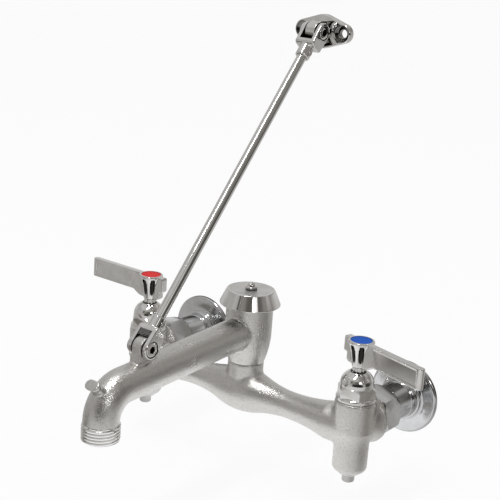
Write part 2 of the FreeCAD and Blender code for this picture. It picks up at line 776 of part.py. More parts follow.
def make_spout():
    flare = hub_radius - neck_radius
    flare_height = hub_straight_height - seam_height
    flare_arc = (flare_height * flare_height + flare * flare) / (2 * flare)
    hub = turned_body("spout_hub", [
        Corner(0, seam_height), Corner(neck_radius, seam_height),
        Corner(hub_radius, hub_straight_height, flare_arc, 1, 5),
        Corner(hub_radius, hub_top), Corner(0, hub_top)])
    place(hub, y=-valve_standoff)
    tube, centre_out, centre_height = make_sweep("spout_tube", spout_radius, outlet_height)
    outlet = -(valve_standoff + spout_reach)
    thread = cylinder("spout_thread", hose_thread_radius, hose_thread_length, y=outlet,
                      z=outlet_height)
    lug = make_lug_plate("spout_lug", lug_thickness, as_size(11.0), as_size(14.0), 0)
    place(lug, y=-lower_pin_out, z=lower_pin_height)
    hook_foot = bend_radius + spout_radius - 2
    hook_end = bend_radius + spout_radius + hook_reach
    neck = rounded_bar("hook_neck", hook_neck_width, hook_neck_height, hook_end - hook_foot)
    head = rounded_bar("hook_head", hook_width, hook_height, hook_head)
    for bar, foot in ((neck, hook_foot), (head, hook_end - hook_head)):
        place(bar, y=centre_out - foot * cosine(hook_angle),
              z=centre_height + foot * sine(hook_angle), axis=X_AXIS, angle=90 - hook_angle)
    hub_and_tube = fuse("spout_hub_and_tube", [hub, tube])

    def at_hub(edge):
        box = edge.BoundBox
        reach = abs(box.Center.y + valve_standoff.value)
        inside = hub_radius.value * 0.4 < reach < hub_radius.value + 4
        return inside and box.ZLength > spout_radius.value and box.XLength > spout_radius.value

    blended = round_edges("spout_blended", hub_and_tube, hub_fillet, at_hub)
    casting = fuse("spout_casting", [blended, thread, lug, neck, head])
    openings = [
        make_sweep("spout_waterway", spout_bore_radius, outlet_height - 2)[0],
        cylinder("hub_foot_bore", nipple_radius + thread_gap, nipple_length / 2 + 1,
                 y=-valve_standoff, z=seam_height),
        cylinder("hub_bore", hub_bore_radius, hub_top - seam_height, y=-valve_standoff,
                 z=seam_height),
        cylinder("float_chamber", float_chamber_radius, hub_top - float_chamber_floor,
                 y=-valve_standoff, z=float_chamber_floor),
        cylinder("breaker_bore", breaker_thread_radius + thread_gap,
                 hub_top - breaker_foot + seat_gap, y=-valve_standoff, z=breaker_foot - seat_gap),
        cylinder("lug_hole", pin_radius + running_gap, lug_thickness + 2,
                 x=-lug_thickness / 2 - 1, y=-lower_pin_out, z=lower_pin_height, axis=Y_AXIS,
                 angle=90)]
    return keep(cut("spout", casting, openings))


make_spout()

# Nipple that joins the spout's hub to the yoke

nipple = turned_body("connecting_nipple", [
    Corner(nipple_radius - nipple_wall, -nipple_length / 2), Corner(nipple_radius, -nipple_length / 2),
    Corner(nipple_radius, nipple_length / 2), Corner(nipple_radius - nipple_wall, nipple_length / 2)])
keep(place(nipple, y=-valve_standoff, z=seam_height))

# Vacuum breaker, from its seat up to the nut on the cap


def make_vacuum_breaker():
    seat = flat_ring("vacuum_breaker_seat", float_chamber_radius - seat_gap, hub_bore_radius,
                     float_chamber_floor, seat_ring_thickness)
    keep(place(seat, y=-valve_standoff))
    float_top = float_foot + float_thickness
    disc = turned_body("vacuum_breaker_float", [
        Corner(0, float_foot), Corner(float_radius, float_foot), Corner(float_radius, float_top),
        Corner(float_guide_radius, float_top),
        Corner(float_guide_radius, float_top + float_guide_length),
        Corner(0, float_top + float_guide_length)])
    keep(place(disc, y=-valve_standoff))
    gasket = flat_ring("vacuum_breaker_gasket", float_chamber_radius - seat_gap, vent_gasket_bore,
                       gasket_foot, vent_gasket_thickness)
    keep(place(gasket, y=-valve_standoff))
    keep(make_breaker_bonnet())
    slope = (cap_rim_radius - cap_top_radius) / (cap_top - cap_rim_height - cap_rim_band)
    inner_rim = cap_rim_radius - cap_wall
    inner_top = cap_top_radius - cap_wall + slope * cap_wall
    cap = turned_body("vacuum_breaker_cap", [
        Corner(breaker_stud_radius + seat_gap, cap_ceiling), Corner(inner_top, cap_ceiling),
        Corner(inner_rim, cap_rim_height + cap_rim_band), Corner(inner_rim, cap_rim_height),
        Corner(cap_rim_radius, cap_rim_height), Corner(cap_rim_radius, cap_rim_height + cap_rim_band),
        Corner(cap_top_radius + slope * cap_edge, cap_top - cap_edge),
        Corner(cap_top_radius - cap_edge, cap_top, cap_edge * 1.4, 1, 2),
        Corner(breaker_stud_radius + seat_gap, cap_top)])
    keep(place(cap, y=-valve_standoff))
    nut = new_body("vacuum_breaker_nut")
    outline = sketch_on(nut, "XY_Plane", "hexagon", cap_top)
    draw_outline(outline, hexagon(acorn_flats, as_size(15)))
    pad(nut, "base", outline, acorn_hex)
    dome_foot = cap_top + acorn_hex / 2
    dome = sketch_on(nut, "XZ_Plane", "dome_outline")
    draw_outline(dome, [
        Corner(0, dome_foot), Corner(acorn_radius, dome_foot),
        Corner(acorn_radius, acorn_top - acorn_radius * 0.8),
        Corner(0, acorn_top, acorn_radius * 1.03, 1, 4)])
    turn = feature(nut, "Revolution", "dome", dome)
    turn.ReferenceAxis = (dome, ["V_Axis"])
    turn.Angle = 360
    groove(nut, "thread", [
        Corner(0, cap_top - 1), Corner(breaker_stud_radius + running_gap, cap_top - 1),
        Corner(breaker_stud_radius + running_gap, breaker_stud_top + seat_gap),
        Corner(0, breaker_stud_top + seat_gap)])
    keep(place(nut, y=-valve_standoff))


def make_breaker_bonnet():
    """The vented plug in the top of the hub, with the post that carries the cap."""
    bonnet = turned_body("vacuum_breaker_bonnet", [
        Corner(float_guide_radius + running_gap, breaker_foot),
        Corner(breaker_thread_radius, breaker_foot),
        Corner(breaker_thread_radius, hub_top), Corner(breaker_flange_radius, hub_top),
        Corner(breaker_flange_radius, hub_top + breaker_flange),
        Corner(breaker_post_radius, hub_top + breaker_flange), Corner(breaker_post_radius, cap_ceiling),
        Corner(breaker_stud_radius, cap_ceiling), Corner(breaker_stud_radius, breaker_stud_top),
        Corner(0, breaker_stud_top), Corner(0, breaker_foot + guide_bore_depth),
        Corner(float_guide_radius + running_gap, breaker_foot + guide_bore_depth)])
    vent = circle_sketch(bonnet, "XY_Plane", "vent_circle", [(vent_hole_place, 0, vent_hole_radius)],
                         breaker_foot - 1)
    hole = pocket(bonnet, "vent", vent, hub_top + breaker_flange - breaker_foot + 2,
                  reversed_way=True)
    around(bonnet, "vents", hole, vent, vent_hole_count)
    return place(bonnet, y=-valve_standoff)


def around(body, name, original, sketch, count):
    """Repeat a feature round the body's Z axis."""
    document.recompute()
    pattern = body.newObject("PartDesign::PolarPattern", body.Label + "_" + name)
    pattern.Originals = [original]
    pattern.Axis = (sketch, ["N_Axis"])
    pattern.Angle = 360
    pattern.Occurrences = count
    body.Tip = pattern
    return pattern


make_vacuum_breaker()

# Both valves: cartridge parts, bonnet, stem, lever handle, stop, coupling nut and wall flange


def trim_hexagon(body, name, flats, end, drop):
    """Cut the corners of a hexagon away towards one end, along a shallow cone."""
    groove(body, name, [
        Corner(flats / 2, end), Corner(flats / 2 * hex_corner + 1, end - drop),
        Corner(flats / 2 * hex_corner + 1, end + drop / 4), Corner(flats / 2, end + drop / 4)])


def make_cartridge(side):
    foot = cartridge_floor + seal_thickness
    bore_top = foot + 2 * disc_thickness + driver_thickness + seat_gap
    cartridge = turned_body(side + "_cartridge", [
        Corner(disc_radius + seat_gap, foot), Corner(cartridge_wall_radius, foot),
        Corner(cartridge_wall_radius, valve_top_height - bonnet_thread_length),
        Corner(cartridge_radius, valve_top_height - bonnet_thread_length + 1),
        Corner(cartridge_radius, cartridge_top), Corner(stem_radius + running_gap, cartridge_top),
        Corner(stem_radius + running_gap, bore_top), Corner(disc_radius + seat_gap, bore_top)])
    window = circle_sketch(cartridge, "YZ_Plane", "window_circle",
                           [(0, bore_top - cartridge_window_radius - seat_gap,
                             cartridge_window_radius)])
    pocket(cartridge, "window", window, 4 * cartridge_radius, symmetric=True)
    seal = flat_ring(side + "_seat_seal", cartridge_wall_radius, seat_hole_radius + 0.4,
                     cartridge_floor, seal_thickness)
    discs = []
    for name, height, turned in (("_fixed_disc", foot, False),
                                 ("_turning_disc", foot + disc_thickness, True)):
        disc = new_body(side + name)
        outline = circle_sketch(disc, "XY_Plane", "outline", [(0, 0, disc_radius)], height)
        pad(disc, "thickness", outline, disc_thickness)
        ports = [(disc_port_place * sign, 0, disc_port_radius) for sign in (-1, 1)]
        if turned:
            ports = [(across, up, radius) for up, across, radius in ports]
        holes = circle_sketch(disc, "XY_Plane", "ports", ports, height - 1)
        pocket(disc, "port", holes, disc_thickness + 2, reversed_way=True)
        discs.append(disc)
    return [cartridge, seal, discs[0]], discs[1]


def make_stem(side):
    foot = cartridge_floor + seal_thickness + 2 * disc_thickness
    groove_half = ring_wire_radius + seat_gap
    stem = turned_body(side + "_stem", [
        Corner(0, foot), Corner(driver_radius, foot), Corner(driver_radius, foot + driver_thickness),
        Corner(stem_radius, foot + driver_thickness),
        Corner(stem_radius, stem_seal_height - groove_half),
        Corner(stem_radius - 1.7 * ring_wire_radius, stem_seal_height - groove_half),
        Corner(stem_radius - 1.7 * ring_wire_radius, stem_seal_height + groove_half),
        Corner(stem_radius, stem_seal_height + groove_half),
        Corner(stem_radius, bonnet_dome_top - bonnet_recess + seat_gap),
        Corner(stem_collar_radius, bonnet_dome_top - bonnet_recess + seat_gap),
        Corner(stem_collar_radius, stem_collar_top), Corner(stem_radius, stem_collar_top),
        Corner(stem_radius, stem_top), Corner(0, stem_top)])
    screw_foot = handle_screw_foot - seat_gap
    groove(stem, "screw_thread", [
        Corner(0, screw_foot), Corner(handle_screw_radius + running_gap, screw_foot),
        Corner(handle_screw_radius + running_gap, stem_top + 1), Corner(0, stem_top + 1)])
    seal = round_ring(side + "_stem_seal", stem_radius - 0.7 * ring_wire_radius,
                      ring_wire_radius * 0.75, stem_seal_height)
    return [stem, seal]


def make_bonnet(side):
    bonnet = new_body(side + "_bonnet")
    flats_outline = sketch_on(bonnet, "XY_Plane", "hexagon", bonnet_foot)
    draw_outline(flats_outline, hexagon(bonnet_flats, bonnet_turn))
    pad(bonnet, "wrench_flats", flats_outline, bonnet_hex_top - bonnet_foot)
    trim_hexagon(bonnet, "foot_trim", bonnet_flats, bonnet_foot, as_size(-4.6))
    trim_hexagon(bonnet, "top_trim", bonnet_flats, bonnet_hex_top, as_size(1.1))
    dome = sketch_on(bonnet, "XZ_Plane", "dome_outline")
    thread_foot = valve_top_height - bonnet_thread_length
    draw_outline(dome, [
        Corner(0, thread_foot), Corner(bonnet_thread_radius, thread_foot),
        Corner(bonnet_thread_radius, valve_top_height),
        Corner(valve_radius - 1.6, valve_top_height), Corner(valve_radius - 1.6, bonnet_foot),
        Corner(bonnet_flats / 2, bonnet_foot + 0.6), Corner(bonnet_dome_radius, bonnet_hex_top),
        Corner(bonnet_dome_mouth, bonnet_dome_top, bonnet_dome_arc, 1, 6),
        Corner(0, bonnet_dome_top)])
    turn = feature(bonnet, "Revolution", "dome", dome)
    turn.ReferenceAxis = (dome, ["V_Axis"])
    turn.Angle = 360
    recess_floor = bonnet_dome_top - bonnet_recess
    groove(bonnet, "bore", [
        Corner(0, thread_foot - 1), Corner(cartridge_radius + seat_gap, thread_foot - 1),
        Corner(cartridge_radius + seat_gap, cartridge_top + seat_gap),
        Corner(stem_radius + running_gap, cartridge_top + seat_gap),
        Corner(stem_radius + running_gap, recess_floor), Corner(bonnet_recess_radius, recess_floor),
        Corner(bonnet_recess_radius, bonnet_dome_top + 1), Corner(0, bonnet_dome_top + 1)])
    return [bonnet]


def make_handle(side):
    """Lever handle, pointing along its own +X, with its index button and screw."""
    handle = turned_body(side + "_handle", [
        Corner(0, handle_foot), Corner(handle_foot_radius - 0.4, handle_foot),
        Corner(handle_foot_radius, handle_foot + 0.6),
        Corner(handle_hub_radius, handle_top - handle_rim_height - 2.4, 45, -1, 2),
        Corner(handle_rim_radius, handle_top - handle_rim_height),
        Corner(handle_rim_radius, handle_top - 0.4), Corner(handle_rim_radius - 0.4, handle_top),
        Corner(0, handle_top)])
    flute = circle_sketch(handle, "XY_Plane", "flute_circle",
                          [(handle_hub_radius + flute_radius * 0.2, 0, flute_radius)], handle_foot - 1)
    hollow = pocket(handle, "flute", flute, handle_top - handle_rim_height - handle_foot - 0.6,
                    reversed_way=True)
    around(handle, "flutes", hollow, flute, flute_count)
    lever_foot = handle_top - lever_height
    tip = lever_length - lever_thickness / 2
    blade = sketch_on(handle, "XZ_Plane", "lever_outline")
    draw_outline(blade, [
        Corner(-tail_reach, handle_top - 1.2), Corner(-tail_reach, tail_foot + 1),
        Corner(-tail_reach + 1, tail_foot), Corner(-tail_step_reach, tail_foot),
        Corner(-tail_step_reach, handle_foot + 2.4), Corner(-tail_step_reach + 2, handle_foot + 0.8),
        Corner(handle_foot_radius + 1.6, handle_foot + 0.4),
        Corner(lever_panel_start + 1.5, lever_foot, 14, -1), Corner(tip, lever_foot),
        Corner(tip, handle_top - 0.2), Corner(-tail_reach + 1, handle_top - 0.2)])
    pad(handle, "lever", blade, lever_thickness, symmetric=True)
    rounded_tip = circle_sketch(handle, "XY_Plane", "tip_circle", [(tip, 0, lever_thickness / 2)],
                                lever_foot)
    pad(handle, "tip", rounded_tip, lever_height - 0.2)
    for name, direction in (("near", -1), ("far", 1)):
        panel = sketch_on(handle, "XZ_Plane", name + "_panel_outline",
                          (lever_thickness / 2 - lever_panel_depth) * direction)
        draw_outline(panel, [
            Corner(lever_panel_start, handle_top - lever_lip),
            Corner(lever_panel_start + 7, lever_foot + lever_lip * 0.6),
            Corner(tip - lever_tip_width / 2, lever_foot + lever_lip * 0.6),
            Corner(tip - lever_tip_width / 2, handle_top - lever_lip)])
        pocket(handle, name + "_panel", panel, lever_panel_depth + 1, reversed_way=direction > 0)
    groove(handle, "socket", [
        Corner(0, handle_foot - 1), Corner(stem_radius + running_gap, handle_foot - 1),
        Corner(stem_radius + running_gap, stem_top + seat_gap), Corner(0, stem_top + seat_gap)])
    groove(handle, "screw_recess", [
        Corner(0, stem_top), Corner(handle_screw_radius + seat_gap, stem_top),
        Corner(handle_screw_radius + seat_gap, screw_seat),
        Corner(handle_screw_head_radius + seat_gap, screw_seat),
        Corner(handle_screw_head_radius + seat_gap, button_foot),
        Corner(button_radius + running_gap, button_foot),
        Corner(button_radius + running_gap, handle_top + 1), Corner(0, handle_top + 1)])
    button = turned_body(side + "_index_button", [
        Corner(0, button_foot), Corner(button_radius, button_foot),
        Corner(button_radius, button_foot + button_thickness - 0.3),
        Corner(button_radius - 0.3, button_foot + button_thickness),
        Corner(0, button_foot + button_thickness)])
    screw = turned_body(side + "_handle_screw", [
        Corner(0, handle_screw_foot), Corner(handle_screw_radius, handle_screw_foot),
        Corner(handle_screw_radius, screw_seat), Corner(handle_screw_head_radius, screw_seat),
        Corner(handle_screw_head_radius, screw_seat + handle_screw_head * 0.6),
        Corner(handle_screw_head_radius * 0.7, screw_seat + handle_screw_head),
        Corner(0, screw_seat + handle_screw_head)])
    return [handle, button, screw]


def make_stop(side):
    plug_top = stop_washer_foot
    stem = turned_body(side + "_stop_stem", [
        Corner(0, stop_stem_end), Corner(stop_stem_radius - 1.2, stop_stem_end),
        Corner(stop_stem_radius, stop_stem_end + 1.4, 2.4, 1, 2),
        Corner(stop_stem_radius, stop_plug_foot), Corner(stop_plug_radius, stop_plug_foot),
        Corner(stop_plug_radius, plug_top), Corner(0, plug_top)])
    slot = sketch_on(stem, "XZ_Plane", "slot_outline")
    draw_outline(slot, [
        Corner(-stop_slot_width / 2, stop_stem_end - 1),
        Corner(stop_slot_width / 2, stop_stem_end - 1),
        Corner(stop_slot_width / 2, stop_stem_end + stop_slot_depth),
        Corner(-stop_slot_width / 2, stop_stem_end + stop_slot_depth)])
    pocket(stem, "slot", slot, 4 * stop_stem_radius, symmetric=True)
    washer = turned_body(side + "_stop_washer", [
        Corner(0, plug_top), Corner(stop_plug_radius, plug_top),
        Corner(stop_plug_radius, plug_top + stop_washer_thickness - 0.6),
        Corner(stop_plug_radius - 0.6, plug_top + stop_washer_thickness),
        Corner(0, plug_top + stop_washer_thickness)])
    seal = round_ring(side + "_stop_seal", stop_stem_radius + running_gap + ring_wire_radius,
                      ring_wire_radius, stop_seal_height)
    return [stem, washer, seal]


def make_coupling(side):
    """Nut, washer and flanged tailpiece, drawn with Z running out from the wall."""
    nut = new_body(side + "_coupling_nut")
    outline = sketch_on(nut, "XY_Plane", "hexagon", nut_back)
    turn = hot_nut_turn if side == "hot" else cold_nut_turn
    draw_outline(outline, hexagon(nut_flats, turn))
    pad(nut, "wrench_flats", outline, nut_front - nut_back)
    trim_hexagon(nut, "front_trim", nut_flats, nut_front, nut_chamfer)
    trim_hexagon(nut, "back_trim", nut_flats, nut_back, -nut_chamfer)
    skirt = circle_sketch(nut, "XY_Plane", "skirt_circle", [(0, 0, nut_skirt_radius)], nut_skirt_end)
    pad(nut, "skirt", skirt, nut_back - nut_skirt_end + 2)
    shoulder = union_thread_end - washer_thickness - tail_collar_thickness
    groove(nut, "bore", [
        Corner(0, nut_skirt_end - 1), Corner(tail_radius + seat_gap, nut_skirt_end - 1),
        Corner(tail_radius + seat_gap, shoulder),
        Corner(union_thread_radius + thread_gap, shoulder),
        Corner(union_thread_radius + thread_gap, nut_front + 1), Corner(0, nut_front + 1)])
    washer = flat_ring(side + "_union_washer", tail_collar_radius - seat_gap, supply_bore_radius,
                       union_thread_end - washer_thickness, washer_thickness)
    collar_end = shoulder + tail_collar_thickness
    flange = turned_body(side + "_wall_flange", [
        Corner(inlet_thread_radius, 0), Corner(flange_radius, 0),
        Corner(flange_radius, flange_rim * 0.55), Corner(flange_radius - 2.7, flange_rim),
        Corner(flange_dish_radius, flange_dish, 60, -1, 2),
        Corner(tail_radius, flange_neck_start, 9.5, -1, 4), Corner(tail_radius, shoulder),
        Corner(tail_collar_radius, shoulder), Corner(tail_collar_radius, collar_end),
        Corner(supply_bore_radius, collar_end), Corner(supply_bore_radius, inlet_thread_depth),
        Corner(inlet_thread_radius, inlet_thread_depth)])
    return [nut, washer, flange]


handle_foot = stem_collar_top + seat_gap
button_foot = handle_top - button_recess - button_thickness
screw_seat = stem_top + 4
handle_screw_foot = stem_top - 7.6

for side, sign, opened in (("hot", -1, hot_lever_opened), ("cold", 1, cold_lever_opened)):
    across = valve_place * sign
    fixed, turning_disc = make_cartridge(side)
    for thing in fixed + make_stem(side) + make_bonnet(side) + make_stop(side):
        keep(place(thing, x=across, y=-valve_standoff))
    keep(place(turning_disc, x=across, y=-valve_standoff, axis=Z_AXIS, angle=opened))
    closed_angle = 90 - 90 * sign
    for thing in make_handle(side):
        keep(place(thing, x=across, y=-valve_standoff, axis=Z_AXIS, angle=closed_angle + opened))
    for thing in make_coupling(side):
        keep(place(thing, x=across, axis=X_AXIS, angle=90))

# Brace: a clevis at each end, the rod between them, their screws and the bracket on the wall


def make_clevis(label):
    """A clevis with its pin along X at its own origin and its rod running along +Z."""
    clevis = new_body(label)
    outline = sketch_on(clevis, "YZ_Plane", "outline")
    bridge_top = clevis_slot_depth + clevis_bridge
    draw_outline(outline, [
        Corner(-clevis_half_depth, 0), Corner(0, -clevis_half_depth, clevis_half_depth, 1),
        Corner(clevis_half_depth, 0, clevis_half_depth, 1),
        Corner(clevis_bridge_half_depth, bridge_top - 1.2),
        Corner(clevis_bridge_half_depth - 1.2, bridge_top),
        Corner(1.2 - clevis_bridge_half_depth, bridge_top),
        Corner(-clevis_bridge_half_depth, bridge_top - 1.2)])
    pad(clevis, "width", outline, 2 * clevis_half_width, symmetric=True)
    collar = circle_sketch(clevis, "XY_Plane", "collar_circle", [(0, 0, clevis_collar_radius)],
                           clevis_slot_depth + 1)
    pad(clevis, "collar", collar, clevis_collar_end - clevis_slot_depth - 1)
    slot = sketch_on(clevis, "XZ_Plane", "slot_outline")
    slot_half = lug_thickness / 2 + lug_side_gap
    draw_outline(slot, [
        Corner(-slot_half, -clevis_half_depth - 1), Corner(slot_half, -clevis_half_depth - 1),
        Corner(slot_half, clevis_slot_depth), Corner(-slot_half, clevis_slot_depth)])
    pocket(clevis, "slot", slot, 4 * clevis_half_depth, symmetric=True)
    boss = circle_sketch(clevis, "YZ_Plane", "boss_circle", [(0, 0, clevis_boss_radius)],
                         -(clevis_half_width + clevis_boss))
    pad(clevis, "boss", boss, clevis_boss + 1)
    pin_hole = circle_sketch(clevis, "YZ_Plane", "pin_circle", [(0, 0, pin_radius + running_gap)])
    pocket(clevis, "pin_hole", pin_hole, 4 * clevis_half_width, symmetric=True)
    head = circle_sketch(clevis, "YZ_Plane", "head_circle", [(0, 0, pin_recess_radius)],
                         clevis_half_width - pin_head - pin_head_inset)
    pocket(clevis, "head_recess", head, pin_head + pin_head_inset + 1, reversed_way=True)
    bore = circle_sketch(clevis, "XY_Plane", "rod_circle", [(0, 0, rod_radius + running_gap)],
                         rod_start - seat_gap)
    pocket(clevis, "rod_bore", bore, clevis_collar_end, reversed_way=True)
    screw = circle_sketch(clevis, "YZ_Plane", "set_screw_circle",
                          [(0, set_screw_place, set_screw_radius + running_gap)])
    pocket(clevis, "set_screw_hole", screw, 2 * clevis_collar_radius, reversed_way=True)
    return clevis


def make_pivot_screw(label):
    """Socket head screw along its own Z, its head face at the +X side of the clevis."""
    face = clevis_half_width - pin_head_inset
    end = -(clevis_half_width + clevis_boss) + seat_gap
    screw = turned_body(label, [
        Corner(0, end), Corner(pin_radius - 0.5, end), Corner(pin_radius, end + 0.5),
        Corner(pin_radius, face - pin_head), Corner(pin_head_radius, face - pin_head),
        Corner(pin_head_radius, face - 0.4), Corner(pin_head_radius - 0.4, face), Corner(0, face)])
    socket = sketch_on(screw, "XY_Plane", "socket_hexagon", face - pin_socket_depth)
    draw_outline(socket, hexagon(pin_socket_flats, as_size(0)))
    pocket(screw, "socket", socket, pin_socket_depth + 1, reversed_way=True)
    return screw


def make_set_screw(label):
    start = rod_radius + running_gap
    end = clevis_collar_radius + set_screw_proud
    return turned_body(label, [
        Corner(0, start), Corner(set_screw_radius, start), Corner(set_screw_radius, end - 0.4),
        Corner(set_screw_radius - 0.4, end), Corner(0, end)])


def make_bracket():
    lug = make_lug_plate("bracket_lug", lug_thickness, as_size(9.0), upper_pin_out - 1, 90)
    place(lug, y=-upper_pin_out, z=upper_pin_height, axis=X_AXIS, angle=90)
    ends = plate_hole_spacing / 2
    run = root(ends * ends - (plate_half_height - plate_end_radius)
               * (plate_half_height - plate_end_radius))
    lean = (plate_half_height - plate_end_radius) / ends
    rise = run / ends
    plate = new_body("bracket_plate")
    outline = sketch_on(plate, "XZ_Plane", "outline")
    centre_x = plate_half_height * lean
    centre_z = plate_half_height * rise
    end_x = ends + plate_end_radius * lean
    end_z = plate_end_radius * rise
    draw_outline(outline, [
        Corner(-centre_x, -centre_z), Corner(centre_x, -centre_z, plate_half_height, 1),
        Corner(end_x, -end_z), Corner(ends + plate_end_radius, 0, plate_end_radius, 1),
        Corner(end_x, end_z, plate_end_radius, 1), Corner(centre_x, centre_z),
        Corner(-centre_x, centre_z, plate_half_height, 1), Corner(-end_x, end_z),
        Corner(-ends - plate_end_radius, 0, plate_end_radius, 1),
        Corner(-end_x, -end_z, plate_end_radius, 1)])
    pad(plate, "thickness", outline, plate_thickness)
    place(plate, z=upper_pin_height)
    openings = [cylinder("bracket_pin_hole", pin_radius + running_gap, lug_thickness + 2,
                         x=-lug_thickness / 2 - 1, y=-upper_pin_out, z=upper_pin_height,
                         axis=Y_AXIS, angle=90)]
    for sign in (-1, 1):
        openings.append(cylinder("bracket_hole_%d" % sign, plate_hole_radius, plate_thickness + 2,
                                 x=ends * sign, y=1, z=upper_pin_height, axis=X_AXIS, angle=90))
        openings.append(cylinder("bracket_recess_%d" % sign, plate_counterbore_radius,
                                 plate_counterbore_depth + 1, x=ends * sign,
                                 y=plate_counterbore_depth - plate_thickness, z=upper_pin_height,
                                 axis=X_AXIS, angle=90))
    return cut("wall_bracket", fuse("bracket_casting", [plate, lug]), openings)


def make_brace():
    rod_length = brace_length - 2 * rod_start
    rod = turned_body("brace_rod", [
        Corner(0, 0), Corner(rod_radius - 0.5, 0), Corner(rod_radius, 0.5),
        Corner(rod_radius, rod_length - 0.5), Corner(rod_radius - 0.5, rod_length),
        Corner(0, rod_length)])
    lower_angle = brace_tilt - 90
    upper_angle = brace_tilt + 90
    place(rod, y=-lower_pin_out + rod_start * cosine(brace_tilt),
          z=lower_pin_height + rod_start * sine(brace_tilt), axis=X_AXIS, angle=lower_angle)
    keep(rod)
    ends = (("lower", lower_pin_out, lower_pin_height, lower_angle, 1),
            ("upper", upper_pin_out, upper_pin_height, upper_angle, -1))
    for name, out, height, angle, way in ends:
        keep(place(make_clevis(name + "_clevis"), y=-out, z=height, axis=X_AXIS, angle=angle))
        keep(place(make_pivot_screw(name + "_pivot_screw"), y=-out, z=height, axis=Y_AXIS, angle=90))
        reach = set_screw_place * way
        keep(place(make_set_screw(name + "_set_screw"), y=-out + reach * cosine(brace_tilt),
                   z=height + reach * sine(brace_tilt), axis=Y_AXIS, angle=90))
    keep(make_bracket())


make_brace()

# Check every object and write out the sub-parts

document.recompute()
faults = []
for thing in document.Objects:
    if "Invalid" in thing.State or "Error" in thing.State:
        faults.append("%s is %s" % (thing.Label, thing.State))
for thing in parts:
    if thing.Shape.isNull() or not thing.Shape.isValid():
        faults.append("%s has no valid shape" % thing.Label)
if faults:
    raise RuntimeError("; ".join(faults))
os.makedirs("parts", exist_ok=True)
for thing in parts:
    thing.Shape.exportStep(os.path.join("parts", thing.Label + ".step"))
print("%d sub-parts written" % len(parts))
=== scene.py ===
"""Looks of a wall mounted service sink faucet.

It has rough cast bodies, polished handles, a vacuum breaker and a wall brace. Sizes are in millimetres, and
are made metres where a mesh is placed. +X runs to the cold side, -Y to the user and +Z up. The wall is the
plane y = 0, and the origin lies on it midway between the two inlets.
"""

import json
import logging
import math
from dataclasses import dataclass
from enum import Enum
from typing import Callable, Sequence

import bpy
import numpy as np
from mathutils import Matrix, Vector


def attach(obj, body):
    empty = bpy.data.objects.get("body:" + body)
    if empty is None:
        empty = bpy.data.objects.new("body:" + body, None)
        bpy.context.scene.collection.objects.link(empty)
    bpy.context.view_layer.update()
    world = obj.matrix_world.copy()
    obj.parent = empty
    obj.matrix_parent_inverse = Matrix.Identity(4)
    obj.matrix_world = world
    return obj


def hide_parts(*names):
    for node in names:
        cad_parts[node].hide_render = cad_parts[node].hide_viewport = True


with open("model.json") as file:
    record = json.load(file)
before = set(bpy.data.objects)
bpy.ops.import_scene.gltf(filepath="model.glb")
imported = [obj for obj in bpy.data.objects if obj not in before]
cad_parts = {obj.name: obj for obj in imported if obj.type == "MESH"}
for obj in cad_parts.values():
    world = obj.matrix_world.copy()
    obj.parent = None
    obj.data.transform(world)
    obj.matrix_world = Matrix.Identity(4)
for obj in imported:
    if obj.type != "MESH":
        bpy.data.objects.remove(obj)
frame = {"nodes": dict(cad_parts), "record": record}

log = logging.getLogger("faucet")

Piece = bpy.types.Object
Material = bpy.types.Material
Tree = bpy.types.NodeTree
Node = bpy.types.Node
Socket = bpy.types.NodeSocket
Row = tuple[float, ...]

MM = 0.001
FULL_TURN = 2 * math.pi
VALVE_PLACE = 101.6
VALVE_STANDOFF = 73.0
SEAM_HEIGHT = 19.6
BRACE_TILT = 49.5
LOWER_PIN = (0.0, -193.1, 60.6)
UPPER_PIN = (0.0, -14.7616, 269.4075)
PIN_RADIUS = 3.25
LUG_RADIUS = 7.9
LUG_THICKNESS = 8.4
WHITE = (1, 1, 1, 1)


class Way(Enum):
    """What a second solid does to the first."""

    ADD = "UNION"
    CUT = "DIFFERENCE"
    KEEP = "INTERSECT"


@dataclass(frozen=True)
class Step:
    """One point of a turned outline, with the arc that leads to it.

    A positive arc radius has its centre to the left of travel, a negative one to the right.
    """

    radius: float
    height: float
    arc: float = 0.0
    bands: int = 8


# Modelling, as by hand


def start_clean() -> None:
    """Leave edit mode and deselect everything."""
    if bpy.context.object and bpy.context.object.mode != "OBJECT":
        bpy.ops.object.mode_set(mode="OBJECT")
    bpy.ops.object.select_all(action="DESELECT")


def make_active(piece: Piece) -> None:
    """Select one piece alone and make it the active one.

    Args:
        piece: the piece to work on next.
    """
    start_clean()
    piece.select_set(True)
    bpy.context.view_layer.objects.active = piece


def just_added(name: str) -> Piece:
    """Name the piece that an operator has just added.

    Args:
        name: its name, and its mesh's.

    Returns:
        The piece.
    """
    piece = bpy.context.object
    piece.name = piece.data.name = name
    return piece


def turn_about(axis: str, degrees: float) -> Matrix:
    """A turn about one axis, in degrees."""
    return Matrix.Rotation(math.radians(degrees), 4, axis)


def shift(x: float, y: float, z: float) -> Matrix:
    """A move in millimetres."""
    return Matrix.Translation(Vector((x, y, z)) * MM)


def valve_line(x: float = 0.0, height: float = 0.0) -> Matrix:
    """A move to the line that runs through both valves and the hub."""
    return shift(x, -VALVE_STANDOFF, height)


def moved(piece: Piece, seat: Matrix) -> Piece:
    """Carry a piece to its place and put that place into its mesh.

    Args:
        piece: the piece, drawn about its own origin.
        seat: the move and turn that take it to its place.

    Returns:
        The same piece, its object back at the origin.
    """
    make_active(piece)
    piece.matrix_world = seat @ piece.matrix_world
    bpy.ops.object.transform_apply(location=True, rotation=True, scale=True)
    return piece


def apply_modifier(piece: Piece, kind: str, **settings: object) -> None:
    """Add a modifier and apply it.

    Args:
        piece: the piece that it changes.
        kind: the modifier's Blender type.
        **settings: its properties.
    """
    make_active(piece)
    modifier = piece.modifiers.new(kind.lower(), kind)
    for name, value in settings.items():
        setattr(modifier, name, value)
    bpy.ops.object.modifier_apply(modifier=modifier.name)


